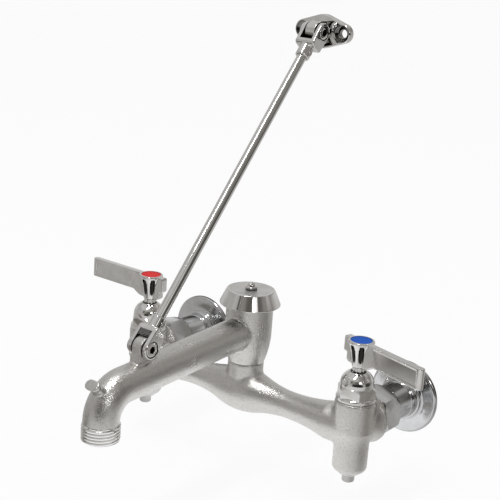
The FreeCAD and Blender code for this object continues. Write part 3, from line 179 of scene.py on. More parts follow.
def outline_points(steps: Sequence[Step]) -> list[Vector]:
    """The points of an outline in the XZ plane, its arcs divided into bands.

    Args:
        steps: the outline.

    Returns:
        Its points, in metres.
    """
    points = [Vector((steps[0].radius, 0, steps[0].height)) * MM]
    for before, step in zip(steps, steps[1:]):
        start = Vector((before.radius, 0, before.height)) * MM
        end = Vector((step.radius, 0, step.height)) * MM
        if step.arc:
            chord = end - start
            left = Vector((-chord.z, 0, chord.x)).normalized()
            size = abs(step.arc) * MM
            reach = math.sqrt(max(size**2 - (chord.length / 2) ** 2, 0.0))
            side = math.copysign(1.0, step.arc)
            centre = (start + end) / 2 + left * reach * side
            opening = 2 * math.asin(min(chord.length / 2 / size, 1.0))
            for band in range(1, step.bands):
                turn = Matrix.Rotation(-side * opening * band / step.bands, 3, "Y")
                points.append(centre + turn @ (start - centre))
        points.append(end)
    return points


def arc_points(centre: Row, radius: float, first: float, last: float, count: int) -> list[Row]:
    """Evenly spaced points on an arc.

    Args:
        centre: its centre.
        radius: its radius.
        first: the angle of its first point, in degrees.
        last: the angle of its last point.
        count: how many steps lie between them.

    Returns:
        Its points as pairs, one more than the steps.
    """
    points = []
    for number in range(count + 1):
        angle = math.radians(first + (last - first) * number / count)
        points.append((centre[0] + radius * math.cos(angle), centre[1] + radius * math.sin(angle)))
    return points


def draw_line(name: str, points: Sequence[Vector]) -> Piece:
    """Extrude one vertex from point to point.

    Args:
        name: the piece's name.
        points: where the line goes, in metres.

    Returns:
        The piece, still in edit mode and selected all over.
    """
    start_clean()
    bpy.ops.mesh.primitive_plane_add(size=MM)
    piece = just_added(name)
    bpy.ops.object.mode_set(mode="EDIT")
    bpy.ops.mesh.merge(type="CENTER")
    bpy.ops.transform.translate(value=points[0])
    for before, after in zip(points, points[1:]):
        bpy.ops.mesh.extrude_vertices_move(TRANSFORM_OT_translate={"value": after - before})
    bpy.ops.mesh.select_all(action="SELECT")
    return piece


def close_skin() -> None:
    """Merge doubles and turn the faces outwards, then leave edit mode."""
    bpy.ops.mesh.select_all(action="SELECT")
    bpy.ops.mesh.remove_doubles(threshold=1e-7)
    bpy.ops.mesh.normals_make_consistent(inside=False)
    bpy.ops.object.mode_set(mode="OBJECT")


def turned(name: str, rows: Sequence[Row], segments: int = 72) -> Piece:
    """A turned solid about the Z axis.

    Args:
        name: the piece's name.
        rows: its outline, each row the values of a Step. It ends where it starts, or starts and ends on
            the axis.
        segments: how many flats go round.

    Returns:
        The piece, about its own origin.
    """
    piece = draw_line(name, outline_points([Step(*row) for row in rows]))
    bpy.ops.mesh.spin(steps=segments, angle=FULL_TURN, center=(0, 0, 0), axis=(0, 0, 1), use_auto_merge=True)
    close_skin()
    return piece


def stepped(name: str, foot: float, *parts: tuple[float, float], segments: int = 72) -> Piece:
    """A round bar or bore in plain steps about the Z axis.

    Args:
        name: the piece's name.
        foot: the height at which it starts.
        *parts: the radius of each part and the height at which it ends, from the foot up.
        segments: how many flats go round.

    Returns:
        The piece, about its own origin.
    """
    rows, low = [(0, foot)], foot
    for radius, high in parts:
        rows += [(radius, low), (radius, high)]
        low = high
    return turned(name, [*rows, (0, low)], segments)


def prism(name: str, points: Sequence[Vector], depth: Vector) -> Piece:
    """A flat outline, filled and extruded.

    Args:
        name: the piece's name.
        points: the outline's corners, in metres.
        depth: how far it is extruded, and in which direction.

    Returns:
        The piece.
    """
    piece = draw_line(name, points)
    bpy.ops.mesh.edge_face_add()
    bpy.ops.mesh.extrude_region_move(TRANSFORM_OT_translate={"value": depth})
    close_skin()
    return piece


def slab(name: str, start: float, pairs: Sequence[Row], width: float) -> Piece:
    """A prism that is extruded along +X, its outline in the YZ plane.

    Args:
        name: the piece's name.
        start: the outline's place along X.
        pairs: the outline's corners, in millimetres.
        width: how far it runs along X.

    Returns:
        The piece.
    """
    points = [Vector((start, across, up)) * MM for across, up in pairs]
    return prism(name, points, Vector((width * MM, 0, 0)))


def bar(name: str, radius: float, length: float, seat: Matrix, sides: int = 64) -> Piece:
    """A straight round or many-sided bar.

    Args:
        name: the piece's name.
        radius: its radius to the corners.
        length: how far it runs up from its seat.
        seat: where it starts.
        sides: how many flats go round.

    Returns:
        The piece.
    """
    start_clean()
    bpy.ops.mesh.primitive_cylinder_add(vertices=sides, radius=radius * MM, depth=length * MM)
    return moved(just_added(name), seat @ shift(0, 0, length / 2))


def hexagon_bar(name: str, flats: float, foot: float, top: float, turn: float) -> Piece:
    """A hexagon bar about the Z axis.

    Args:
        name: the piece's name.
        flats: its size across the flats.
        foot: the height at which it starts.
        top: the height at which it ends.
        turn: how far its first corner is turned from +X, in degrees.

    Returns:
        The piece, about its own origin.
    """
    seat = turn_about("Z", turn) @ shift(0, 0, foot)
    piece = bar(name, flats / math.sqrt(3), top - foot, Matrix.Identity(4), sides=6)
    return moved(piece, seat @ turn_about("Z", -90))


def cross_bar(name: str, radius: float, length: float, place: Row, sides: int = 64) -> Piece:
    """A straight round bar that runs along +X from its place."""
    return bar(name, radius, length, shift(*place) @ turn_about("Y", 90), sides)


def box(name: str, sizes: Row, place: Row = (0, 0, 0)) -> Piece:
    """A plain block that is cut from a piece or melted into it.

    Args:
        name: the block's name.
        sizes: its width, depth and height.
        place: its middle.

    Returns:
        The block.
    """
    start_clean()
    bpy.ops.mesh.primitive_cube_add(
        size=1.0, scale=[size * MM for size in sizes], location=[part * MM for part in place])
    piece = just_added(name)
    bpy.ops.object.transform_apply(location=True, rotation=True, scale=True)
    return piece


def joined(name: str, solids: Sequence[Piece]) -> Piece:
    """Put several solids in one mesh, not yet fused.

    Args:
        name: the new piece's name.
        solids: the solids, all of which go into the first.

    Returns:
        The piece.
    """
    make_active(solids[0])
    for solid in solids:
        solid.select_set(True)
    bpy.ops.object.join()
    return just_added(name)


def worked(piece: Piece, way: Way, tool: Piece, solver: str = "MANIFOLD") -> None:
    """Add, cut or keep what a second solid covers, and remove that solid."""
    apply_modifier(piece, "BOOLEAN", operation=way.value, object=tool, solver=solver)
    bpy.data.objects.remove(tool, do_unlink=True)


def round_edges(piece: Piece, width: float, segments: int, angle: float) -> None:
    """Round the edges of a piece.

    Args:
        piece: the piece.
        width: how wide the rounding is.
        segments: how many faces go round it.
        angle: edges sharper than this are rounded, in degrees.
    """
    apply_modifier(
        piece, "BEVEL", width=width * MM, segments=segments, limit_method="ANGLE",
        angle_limit=math.radians(angle), miter_outer="MITER_ARC", use_clamp_overlap=True)


def cast(name: str, solids: Sequence[Piece], grain: float, passes: int) -> Piece:
    """Melt overlapping solids into one skin with soft edges, as a casting has.

    Args:
        name: the piece's name.
        solids: closed solids that overlap.
        grain: size of the skin's faces, in millimetres.
        passes: how often the skin is smoothed.

    Returns:
        The casting.
    """
    piece = joined(name, solids)
    apply_modifier(piece, "REMESH", mode="VOXEL", voxel_size=grain * MM, use_smooth_shade=True)
    apply_modifier(piece, "SMOOTH", factor=0.5, iterations=passes)
    return piece


def read_rows(items: Sequence, field: str, width: int, kind: type = float) -> np.ndarray:
    """One field of a mesh's points or edges, a row for each.

    Args:
        items: the mesh's vertices or edges.
        field: the field's name.
        width: how many numbers it has.
        kind: the kind of number.

    Returns:
        The rows.
    """
    values = np.empty(len(items) * width, dtype=kind)
    items.foreach_get(field, values)
    return values.reshape(-1, width)


def fill_hollows(piece: Piece, grain: float, rings: int, passes: int) -> None:
    """Round the inner corners of a casting and leave its outer ones.

    Args:
        piece: the casting, with an even skin.
        grain: size of the skin's faces, in millimetres.
        rings: how many faces out from a corner the fillet reaches.
        passes: how often the skin is smoothed there.
    """
    label, fade, least_weight = "hollow", 0.93, 0.3
    least_dip = 0.05 * grain * grain
    mesh = piece.data
    places = read_rows(mesh.vertices, "co", 3) / MM
    normals = read_rows(mesh.vertices, "normal", 3)
    edges = read_rows(mesh.edges, "vertices", 2, np.int64)
    both_ways = ((edges[:, 0], edges[:, 1]), (edges[:, 1], edges[:, 0]))
    around = np.bincount(edges.ravel(), minlength=len(places))
    total = np.zeros_like(places)
    for here, there in both_ways:
        np.add.at(total, here, places[there])
    dip = ((total / around[:, None] - places) * normals).sum(axis=1)
    weight = (dip > least_dip).astype(float)
    for _ in range(rings):
        spread = weight.copy()
        for here, there in both_ways:
            np.maximum.at(spread, here, weight[there] * fade)
        weight = spread
    group = piece.vertex_groups.new(name=label)
    for number in np.nonzero(weight > least_weight)[0]:
        group.add([int(number)], float(weight[number]), "REPLACE")
    apply_modifier(piece, "SMOOTH", factor=0.6, iterations=passes, vertex_group=label)
    piece.vertex_groups.remove(piece.vertex_groups[label])


def store_share(piece: Piece, label: str, share_at: Callable[[np.ndarray], np.ndarray]) -> None:
    """Store a share from 0 to 1 at each point of a mesh, for its finish to read.

    Args:
        piece: the piece, still about its own origin.
        label: the share of painted shade, how far the colour of a point in a hollow or gap is darkened as
            shade, or
        "satin_share", how far its face is left satin.
        share_at: gives the share at each place, in millimetres.
    """
    share = np.clip(share_at(read_rows(piece.data.vertices, "co", 3) / MM), 0.0, 1.0)
    layer = piece.data.attributes.new(label, "FLOAT", "POINT")
    layer.data.foreach_set("value", share.astype(np.float32))


def copied(piece: Piece, name: str, seat: Matrix) -> Piece:
    """Copy a piece to another place.

    Args:
        piece: the piece, about its own origin.
        name: the copy's name.
        seat: the move and turn that take the copy to its place.

    Returns:
        The copy, with a mesh of its own.
    """
    twin = piece.copy()
    twin.data = piece.data.copy()
    twin.name = twin.data.name = name
    bpy.context.scene.collection.objects.link(twin)
    return moved(twin, seat)


# Finishes


class Sheet:
    """A short way to lay out nodes in a material, a world or a node group."""

    def __init__(self, tree: Tree) -> None:
        """Start on an empty node tree."""
        self.tree = tree
        tree.nodes.clear()

    def add(self, kind: str, inputs: dict | None = None, **settings: object) -> Node:
        """Add a node, set it up and feed its inputs.

        Args:
            kind: the node's Blender type.
            inputs: values or output sockets, by input name or number.
            **settings: properties of the node.

        Returns:
            The node.
        """
        node = self.tree.nodes.new(kind)
        for name, value in settings.items():
            setattr(node, name, value)
        for name, value in (inputs or {}).items():
            if isinstance(value, Socket):
                self.tree.links.new(value, node.inputs[name])
            else:
                node.inputs[name].default_value = value
        return node

    def number(self, operation: str, first: object, second: object = 0.0) -> Socket:
        """One step of arithmetic."""
        return self.add("ShaderNodeMath", {0: first, 1: second}, operation=operation).outputs[0]

    def ramp(self, value: Socket, low: float, high: float, start: float, end: float) -> Socket:
        """Map the values from low to high to those from start to end, held at both ends."""
        inputs = {"Value": value, "From Min": low, "From Max": high, "To Min": start, "To Max": end}
        return self.add("ShaderNodeMapRange", inputs, clamp=True).outputs["Result"]

    def noise(self, place: Socket, scale: object, detail: float = 3.0, rough: float = 0.55) -> Socket:
        """Noise over a place, from 0 to 1."""
        inputs = {"Vector": place, "Scale": scale, "Detail": detail, "Roughness": rough}
        return self.add("ShaderNodeTexNoise", inputs).outputs["Fac"]

    def mixed(self, share: object, first: object, second: object) -> Socket:
        """Two colours mixed by a share."""
        return self.add("ShaderNodeMix", {0: share, 6: first, 7: second}, data_type="RGBA").outputs[2]

    def stored(self, label: str) -> Socket:
        """A share that store_share has put on the mesh."""
        return self.add("ShaderNodeAttribute", attribute_name=label).outputs["Fac"]

    def put_out(self, share: Socket, first: Node, second: Node, target: str = "Material") -> None:
        """Mix two shaders by a share and put them out."""
        mix = self.add("ShaderNodeMixShader", {0: share, 1: first.outputs[0], 2: second.outputs[0]})
        self.add("ShaderNodeOutput" + target, {"Surface": mix.outputs[0]})


def new_material(name: str) -> tuple[Material, Sheet]:
    """An empty material.

    Args:
        name: its name.

    Returns:
        The material and the sheet for its nodes.
    """
    made = bpy.data.materials.new(name)
    made.use_nodes = True
    return made, Sheet(made.node_tree)


def new_group(name: str, inputs: dict[str, float], outputs: Sequence[str]) -> tuple[Tree, Sheet, Node]:
    """An empty effect.

    Args:
        name: its name.
        inputs: the numbers that go in beside the place, with their usual values.
        outputs: the names of the values that come out.

    Returns:
        The effect, the sheet for its nodes, and the node that gives what goes in.
    """
    tree = bpy.data.node_groups.new(name, "ShaderNodeTree")
    tree.interface.new_socket("Place", in_out="INPUT", socket_type="NodeSocketVector")
    for label, value in inputs.items():
        socket = tree.interface.new_socket(label, in_out="INPUT", socket_type="NodeSocketFloat")
        socket.default_value = value
    for label in outputs:
        tree.interface.new_socket(label, in_out="OUTPUT", socket_type="NodeSocketFloat")
    sheet = Sheet(tree)
    return tree, sheet, sheet.add("NodeGroupInput")


class Effects:
    """The effects that several finishes share."""

    def __init__(self) -> None:
        """Build each effect once."""
        self.sand = self.build_sand()
        self.polish = self.build_polish()
        self.lathe = self.build_lathe()

    def build_sand(self) -> Tree:
        """The pebbly skin that a sand mould leaves under plating.

        Returns:
            The effect.
        """
        tree, sheet, given = new_group("sand_mould_skin", {"Grain": 1500.0}, ("Height", "Pits", "Patches"))
        place, grain = given.outputs["Place"], given.outputs["Grain"]
        beads = sheet.add(
            "ShaderNodeTexVoronoi", {"Vector": place, "Scale": grain, "Smoothness": 0.6}, feature="SMOOTH_F1")
        lumps = sheet.noise(place, sheet.number("MULTIPLY", grain, 0.62), 4.0, 0.6)
        swell = sheet.noise(place, 120.0, 2.0)
        tops = sheet.ramp(beads.outputs["Distance"], 0.0, 0.75, 1.0, 0.0)
        height = sheet.number("MULTIPLY", tops, 0.5)
        for part in (lumps, swell):
            height = sheet.number("ADD", height, sheet.number("MULTIPLY", part, 0.8))
        pits = sheet.ramp(lumps, 0.30, 0.46, 1.0, 0.0)
        patches = sheet.noise(place, 45.0, 3.0)
        sheet.add("NodeGroupOutput", {"Height": height, "Pits": pits, "Patches": patches})
        return tree

    def build_polish(self) -> Tree:
        """Slow waves, hairlines and faint smears on buffed plating.

        Returns:
            The effect.
        """
        tree, sheet, given = new_group("buffed_plating", {"Waves": 90.0}, ("Height", "Smears"))
        place = given.outputs["Place"]
        waves = sheet.noise(place, given.outputs["Waves"], 1.5, 0.4)
        stretched = sheet.add("ShaderNodeMapping", {"Vector": place, "Scale": (900.0, 900.0, 5200.0)})
        hairs = sheet.noise(stretched.outputs[0], 1.0, 2.0)
        height = sheet.number("ADD", waves, sheet.number("MULTIPLY", hairs, 0.02))
        smears = sheet.ramp(sheet.noise(place, 130.0, 5.0, 0.65), 0.42, 0.68, 0.0, 1.0)
        sheet.add("NodeGroupOutput", {"Height": height, "Smears": smears})
        return tree

    def build_lathe(self) -> Tree:
        """Fine tool marks that run round a turned piece, and the haze between them.

        Returns:
            The effect.
        """
        tree, sheet, given = new_group("tool_marks", {"Marks": 2600.0}, ("Height", "Haze"))
        place = given.outputs["Place"]
        apart = sheet.add("ShaderNodeSeparateXYZ", {0: place})
        along = sheet.number("MULTIPLY", apart.outputs["Y"], given.outputs["Marks"])
        marks = sheet.add(
            "ShaderNodeTexNoise", {"W": along, "Scale": 1.0, "Detail": 3.0}, noise_dimensions="1D")
        haze = sheet.ramp(sheet.noise(place, 160.0, 4.0, 0.6), 0.35, 0.7, 0.0, 1.0)
        sheet.add("NodeGroupOutput", {"Height": marks.outputs["Fac"], "Haze": haze})
        return tree


@dataclass(frozen=True)
class Finish:
    """What every finish shares: an effect over its surface, a bump and a shader."""

    effects: Effects
    name: str

    def start(self, effect: Tree, **inputs: float) -> tuple[Material, Sheet, Node]:
        """Start a material with one effect.

        Args:
            effect: the effect.
            **inputs: its numbers that differ from the usual.

        Returns:
            The material, the sheet for its nodes, and the effect's node.
        """
        made, sheet = new_material(self.name)
        place = sheet.add("ShaderNodeTexCoord").outputs["Object"]
        return made, sheet, sheet.add("ShaderNodeGroup", {"Place": place, **inputs}, node_tree=effect)

    def end(self, sheet: Sheet, bump: dict[str, object], look: dict[str, object]) -> None:
        """Add the bump, the shader and the output.

        Args:
            sheet: the sheet for the material's nodes.
            bump: the height of the bump, its strength and its distance in metres.
            look: what goes into the shader beside the bump.
        """
        normal = sheet.add("ShaderNodeBump", bump).outputs[0]
        shader = sheet.add("ShaderNodeBsdfPrincipled", {**look, "Normal": normal})
        sheet.add("ShaderNodeOutputMaterial", {"Surface": shader.outputs[0]})


@dataclass(frozen=True)
class CastChrome(Finish):
    """Plating over a rough sand casting."""

    name: str = "cast_chrome"
    colour: tuple = (0.67, 0.66, 0.64, 1.0)
    pit_colour: tuple = (0.40, 0.39, 0.37, 1.0)
    smooth: float = 0.25
    rough: float = 0.34
    rougher_in_pits: float = 0.24
    grain: float = 1150.0
    strength: float = 0.62
    depth: float = 0.00034

    def material(self) -> Material:
        """Build the finish.

        Returns:
            The material.
        """
        made, sheet, sand = self.start(self.effects.sand, Grain=self.grain)
        pits = sand.outputs["Pits"]
        patches = sheet.ramp(sand.outputs["Patches"], 0.3, 0.7, self.smooth, self.rough)
        rough = sheet.number("ADD", patches, sheet.number("MULTIPLY", pits, self.rougher_in_pits))
        colour = sheet.mixed(sheet.number("MULTIPLY", pits, 0.55), self.colour, self.pit_colour)
        bump = {"Height": sand.outputs["Height"], "Strength": self.strength, "Distance": self.depth}
        self.end(sheet, bump, {"Base Color": colour, "Metallic": 1.0, "Roughness": rough})
        return made


@dataclass(frozen=True)
class PolishedChrome(Finish):
    """Bright plating buffed to a mirror, with slow waves, shade painted dark into hollows and gaps, and satin
    where it is left so.
    """

    name: str = "polished_chrome"
    colour: tuple = (0.76, 0.755, 0.745, 1.0)
    smear_colour: tuple = (0.68, 0.67, 0.65, 1.0)
    # Near-black that is painted into hollows and gaps as shade.
    painted_shade_colour: tuple = (0.035, 0.033, 0.030, 1.0)
    smooth: float = 0.045
    smeared: float = 0.12
    satin: float = 0.48
    strength: float = 0.35
    wave: float = 0.00006

    def material(self) -> Material:
        """Build the finish.

        Returns:
            The material.
        """
        made, sheet, polish = self.start(self.effects.polish)
        smears = polish.outputs["Smears"]
        rough = sheet.ramp(smears, 0.0, 1.0, self.smooth, self.smeared)
        satin = sheet.number("MULTIPLY", sheet.stored("satin_share"), self.satin)
        rough = sheet.number("MAXIMUM", rough, satin)
        colour = sheet.mixed(smears, self.colour, self.smear_colour)
        # Painted shade: the colour runs to near-black where the mesh's stored share marks a hollow or gap.
        colour = sheet.mixed(sheet.stored("painted_shade_share"), colour, self.painted_shade_colour)
        bump = {"Height": polish.outputs["Height"], "Strength": self.strength, "Distance": self.wave}
        self.end(sheet, bump, {"Base Color": colour, "Metallic": 1.0, "Roughness": rough})
        return made


@dataclass(frozen=True)
class TurnedMetal(Finish):
    """Turned metal with fine marks round it: plated, or bare brass and steel."""

    colour: tuple
    haze_colour: tuple
    smooth: float
    hazy: float
    marks: float = 2600.0
    strength: float = 0.12
    depth: float = 0.00003

    def material(self) -> Material:
        """Build the finish.

        Returns:
            The material.
        """
        made, sheet, lathe = self.start(self.effects.lathe, Marks=self.marks)
        haze = lathe.outputs["Haze"]
        rough = sheet.ramp(haze, 0.0, 1.0, self.smooth, self.hazy)
        colour = sheet.mixed(haze, self.colour, self.haze_colour)
        bump = {"Height": lathe.outputs["Height"], "Strength": self.strength, "Distance": self.depth}
        self.end(sheet, bump, {"Base Color": colour, "Metallic": 1.0, "Roughness": rough})
        return made


@dataclass(frozen=True)
class Moulded(Finish):
    """A moulded or glazed surface: rubber, ceramic or an index button."""

    colour: tuple
    faded: tuple
    smooth: float
    dull: float
    coat: float = 0.0
    shine: float = 0.5
    waves: float = 400.0
    strength: float = 0.3
    depth: float = 0.00003

    def material(self) -> Material:
        """Build the finish.

        Returns:
            The material.
        """
        made, sheet, polish = self.start(self.effects.polish, Waves=self.waves)
        smears = polish.outputs["Smears"]
        rough = sheet.ramp(smears, 0.0, 1.0, self.smooth, self.dull)
        colour = sheet.mixed(smears, self.colour, self.faded)
        bump = {"Height": polish.outputs["Height"], "Strength": self.strength, "Distance": self.depth}
        self.end(sheet, bump, {
            "Base Color": colour, "Metallic": 0.0, "Roughness": rough, "Coat Weight": self.coat,
            "Coat Roughness": 0.05, "Specular IOR Level": self.shine})
        return made


class Finishes:
    """Every finish by the name of its slot in the record."""

    def __init__(self) -> None:
        """Build the finishes."""
        effects = Effects()
        recipes = (
            CastChrome(effects),
            PolishedChrome(effects),
            TurnedMetal(effects, "turned_chrome", (0.67, 0.68, 0.69, 1), (0.60, 0.605, 0.61, 1), 0.08, 0.18),
            TurnedMetal(effects, "brass", (0.72, 0.52, 0.23, 1), (0.60, 0.42, 0.19, 1), 0.22, 0.38),
            TurnedMetal(effects, "steel", (0.50, 0.49, 0.48, 1), (0.40, 0.40, 0.39, 1), 0.20, 0.34),
            Moulded(effects, "ceramic", (0.88, 0.87, 0.83, 1), (0.80, 0.79, 0.75, 1), 0.10, 0.2, 0.5),
            Moulded(effects, "rubber", (0.018, 0.018, 0.018, 1), (0.035, 0.034, 0.032, 1), 0.5, 0.7),
            Moulded(
                effects, "red_button", (0.70, 0.022, 0.025, 1), (0.64, 0.03, 0.03, 1), 0.4, 0.5, 0.0, 0.06),
            Moulded(
                effects, "blue_button", (0.006, 0.085, 0.47, 1), (0.01, 0.1, 0.46, 1), 0.4, 0.5, 0.0, 0.06),
        )
        self.by_slot = {recipe.name: recipe.material() for recipe in recipes}

    def dress_frame(self) -> None:
        """Give every node of the frame the finish that the record names."""
        for row in frame["record"]["subparts"]:
            node = frame["nodes"][row["node"]]
            for number in range(max(1, len(node.material_slots))):
                if number >= len(node.material_slots):
                    node.data.materials.append(None)
                node.material_slots[number].link = "OBJECT"
                node.material_slots[number].material = self.by_slot[row["material_slot"]]


# Sub-assemblies


@dataclass
class Assembly:
    """What the sub-assemblies share: the finishes, and the way a piece is fitted."""

    finishes: Finishes

    def fit(self, piece: Piece, slot: str, body: str, *nodes: str, angle: float = 35.0) -> None:
        """Give a piece its shading, its finish, the body it rides on and the nodes it stands for.

        Args:
            piece: the finished mesh.
            slot: the record's slot that gives its finish.
            body: the body that it rides on.
            *nodes: the nodes of the frame that it replaces.
            angle: edges sharper than this stay sharp, in degrees.
        """
        make_active(piece)
        bpy.ops.object.shade_smooth_by_angle(angle=math.radians(angle))
        piece.data.materials.clear()
        piece.data.materials.append(self.finishes.by_slot[slot])
        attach(piece, body)
        if nodes:
            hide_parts(*nodes)
        log.info("%s rides on %s, %d faces", piece.name, body, len(piece.data.polygons))


@dataclass
class Yoke(Assembly):
    """The casting that joins both valve bodies under the spout."""

    arm_height: float = -4.6
    crown_radius: float = 14.56
    crown_place: float = 17.6
    crown_arc: float = 60.0
    waist_radius: float = 10.3
    waist_place: float = 46.0
    waist_arc: float = -96.8
    end_radius: float = 14.6
    end_place: float = 81.0
    end_arc: float = -144.6
    neck_radius: float = 13.9
    valve_radius: float = 15.3
    valve_top: float = 18.5
    barrel_radius: float = 13.0
    barrel_end: float = -33.5
    boss_end: float = -40.8
    port_face: float = 57.4
    flare_radius: float = 20.0
    grain: float = 0.7

    def arms(self) -> Piece:
        """Both arms, as one turned bar along X with a waist each side of the middle.

        Returns:
            The bar.
        """
        inner = VALVE_PLACE - 3
        outline = [
            (0, -inner), (self.end_radius, -inner), (self.end_radius, -self.end_place),
            (self.waist_radius, -self.waist_place, self.end_arc, 12),
            (self.crown_radius, -self.crown_place, self.waist_arc, 12),
            (self.crown_radius, self.crown_place, self.crown_arc, 16),
            (self.waist_radius, self.waist_place, self.waist_arc, 12),
            (self.end_radius, self.end_place, self.end_arc, 12), (self.end_radius, inner), (0, inner)]
        return moved(turned("arms", outline), valve_line(0, self.arm_height) @ turn_about("Y", 90))

    def valve_body(self, x: float) -> list[Piece]:
        """One valve's barrel with its lower boss, and the port towards the wall.

        Args:
            x: the valve's place.

        Returns:
            The barrel and the port.
        """
        barrel = turned("barrel", [
            (0, self.boss_end), (8.3, self.boss_end), (8.3, -38.3),
            (self.barrel_radius, self.barrel_end, 4.8), (self.barrel_radius, -18.0),
            (self.valve_radius, -5.0, -40.0), (self.valve_radius, self.valve_top - 0.9),
            (self.valve_radius - 0.9, self.valve_top), (0, self.valve_top)])
        port = turned("port", [
            (0, 46.0), (14.2, 46.0), (14.2, self.port_face), (self.flare_radius, self.port_face),
            (self.flare_radius, self.port_face + 1.2), (self.valve_radius - 0.6, 76.0, -26.0, 12), (0, 76.0)])
        return [moved(barrel, valve_line(x)), moved(port, shift(x, 0, 0) @ turn_about("X", 90))]

    def waterways(self) -> Piece:
        """The bores that the inner pieces stand in.

        Returns:
            All of them, as one tool.
        """
        cutters = [moved(stepped("neck_bore", 6.0, (8.5, 8.6), (11.0, 22.0)), valve_line())]
        for x in (-VALVE_PLACE, VALVE_PLACE):
            bore = turned("valve_bore", [
                (0, -44.0), (4.8, -44.0), (4.8, -38.0), (6.9, -37.2), (6.9, -34.8), (4.8, -34.0),
                (4.8, -30.0), (7.6, -30.0), (7.6, -5.0), (5.0, -5.0), (5.0, 0.0), (9.6, 0.0),
                (9.6, 9.0), (11.5, 9.0), (11.5, 22.0), (0, 22.0)])
            cutters.append(moved(bore, valve_line(x)))
            cutters.append(bar("supply", 7.4, 14.0, shift(x, -42.0, 0) @ turn_about("X", 90)))
        return joined("waterways", cutters)

    def build(self) -> None:
        """Cast the yoke and bore it."""
        neck_length = SEAM_HEIGHT - self.arm_height
        solids = [self.arms(), bar("neck", self.neck_radius, neck_length, valve_line(0, self.arm_height))]
        for x in (-VALVE_PLACE, VALVE_PLACE):
            solids += self.valve_body(x)
        casting = cast("yoke_casting", solids, self.grain, 5)
        fill_hollows(casting, self.grain, 5, 46)
        worked(casting, Way.CUT, self.waterways())
        self.fit(casting, "cast_chrome", "faucet", "yoke_body")


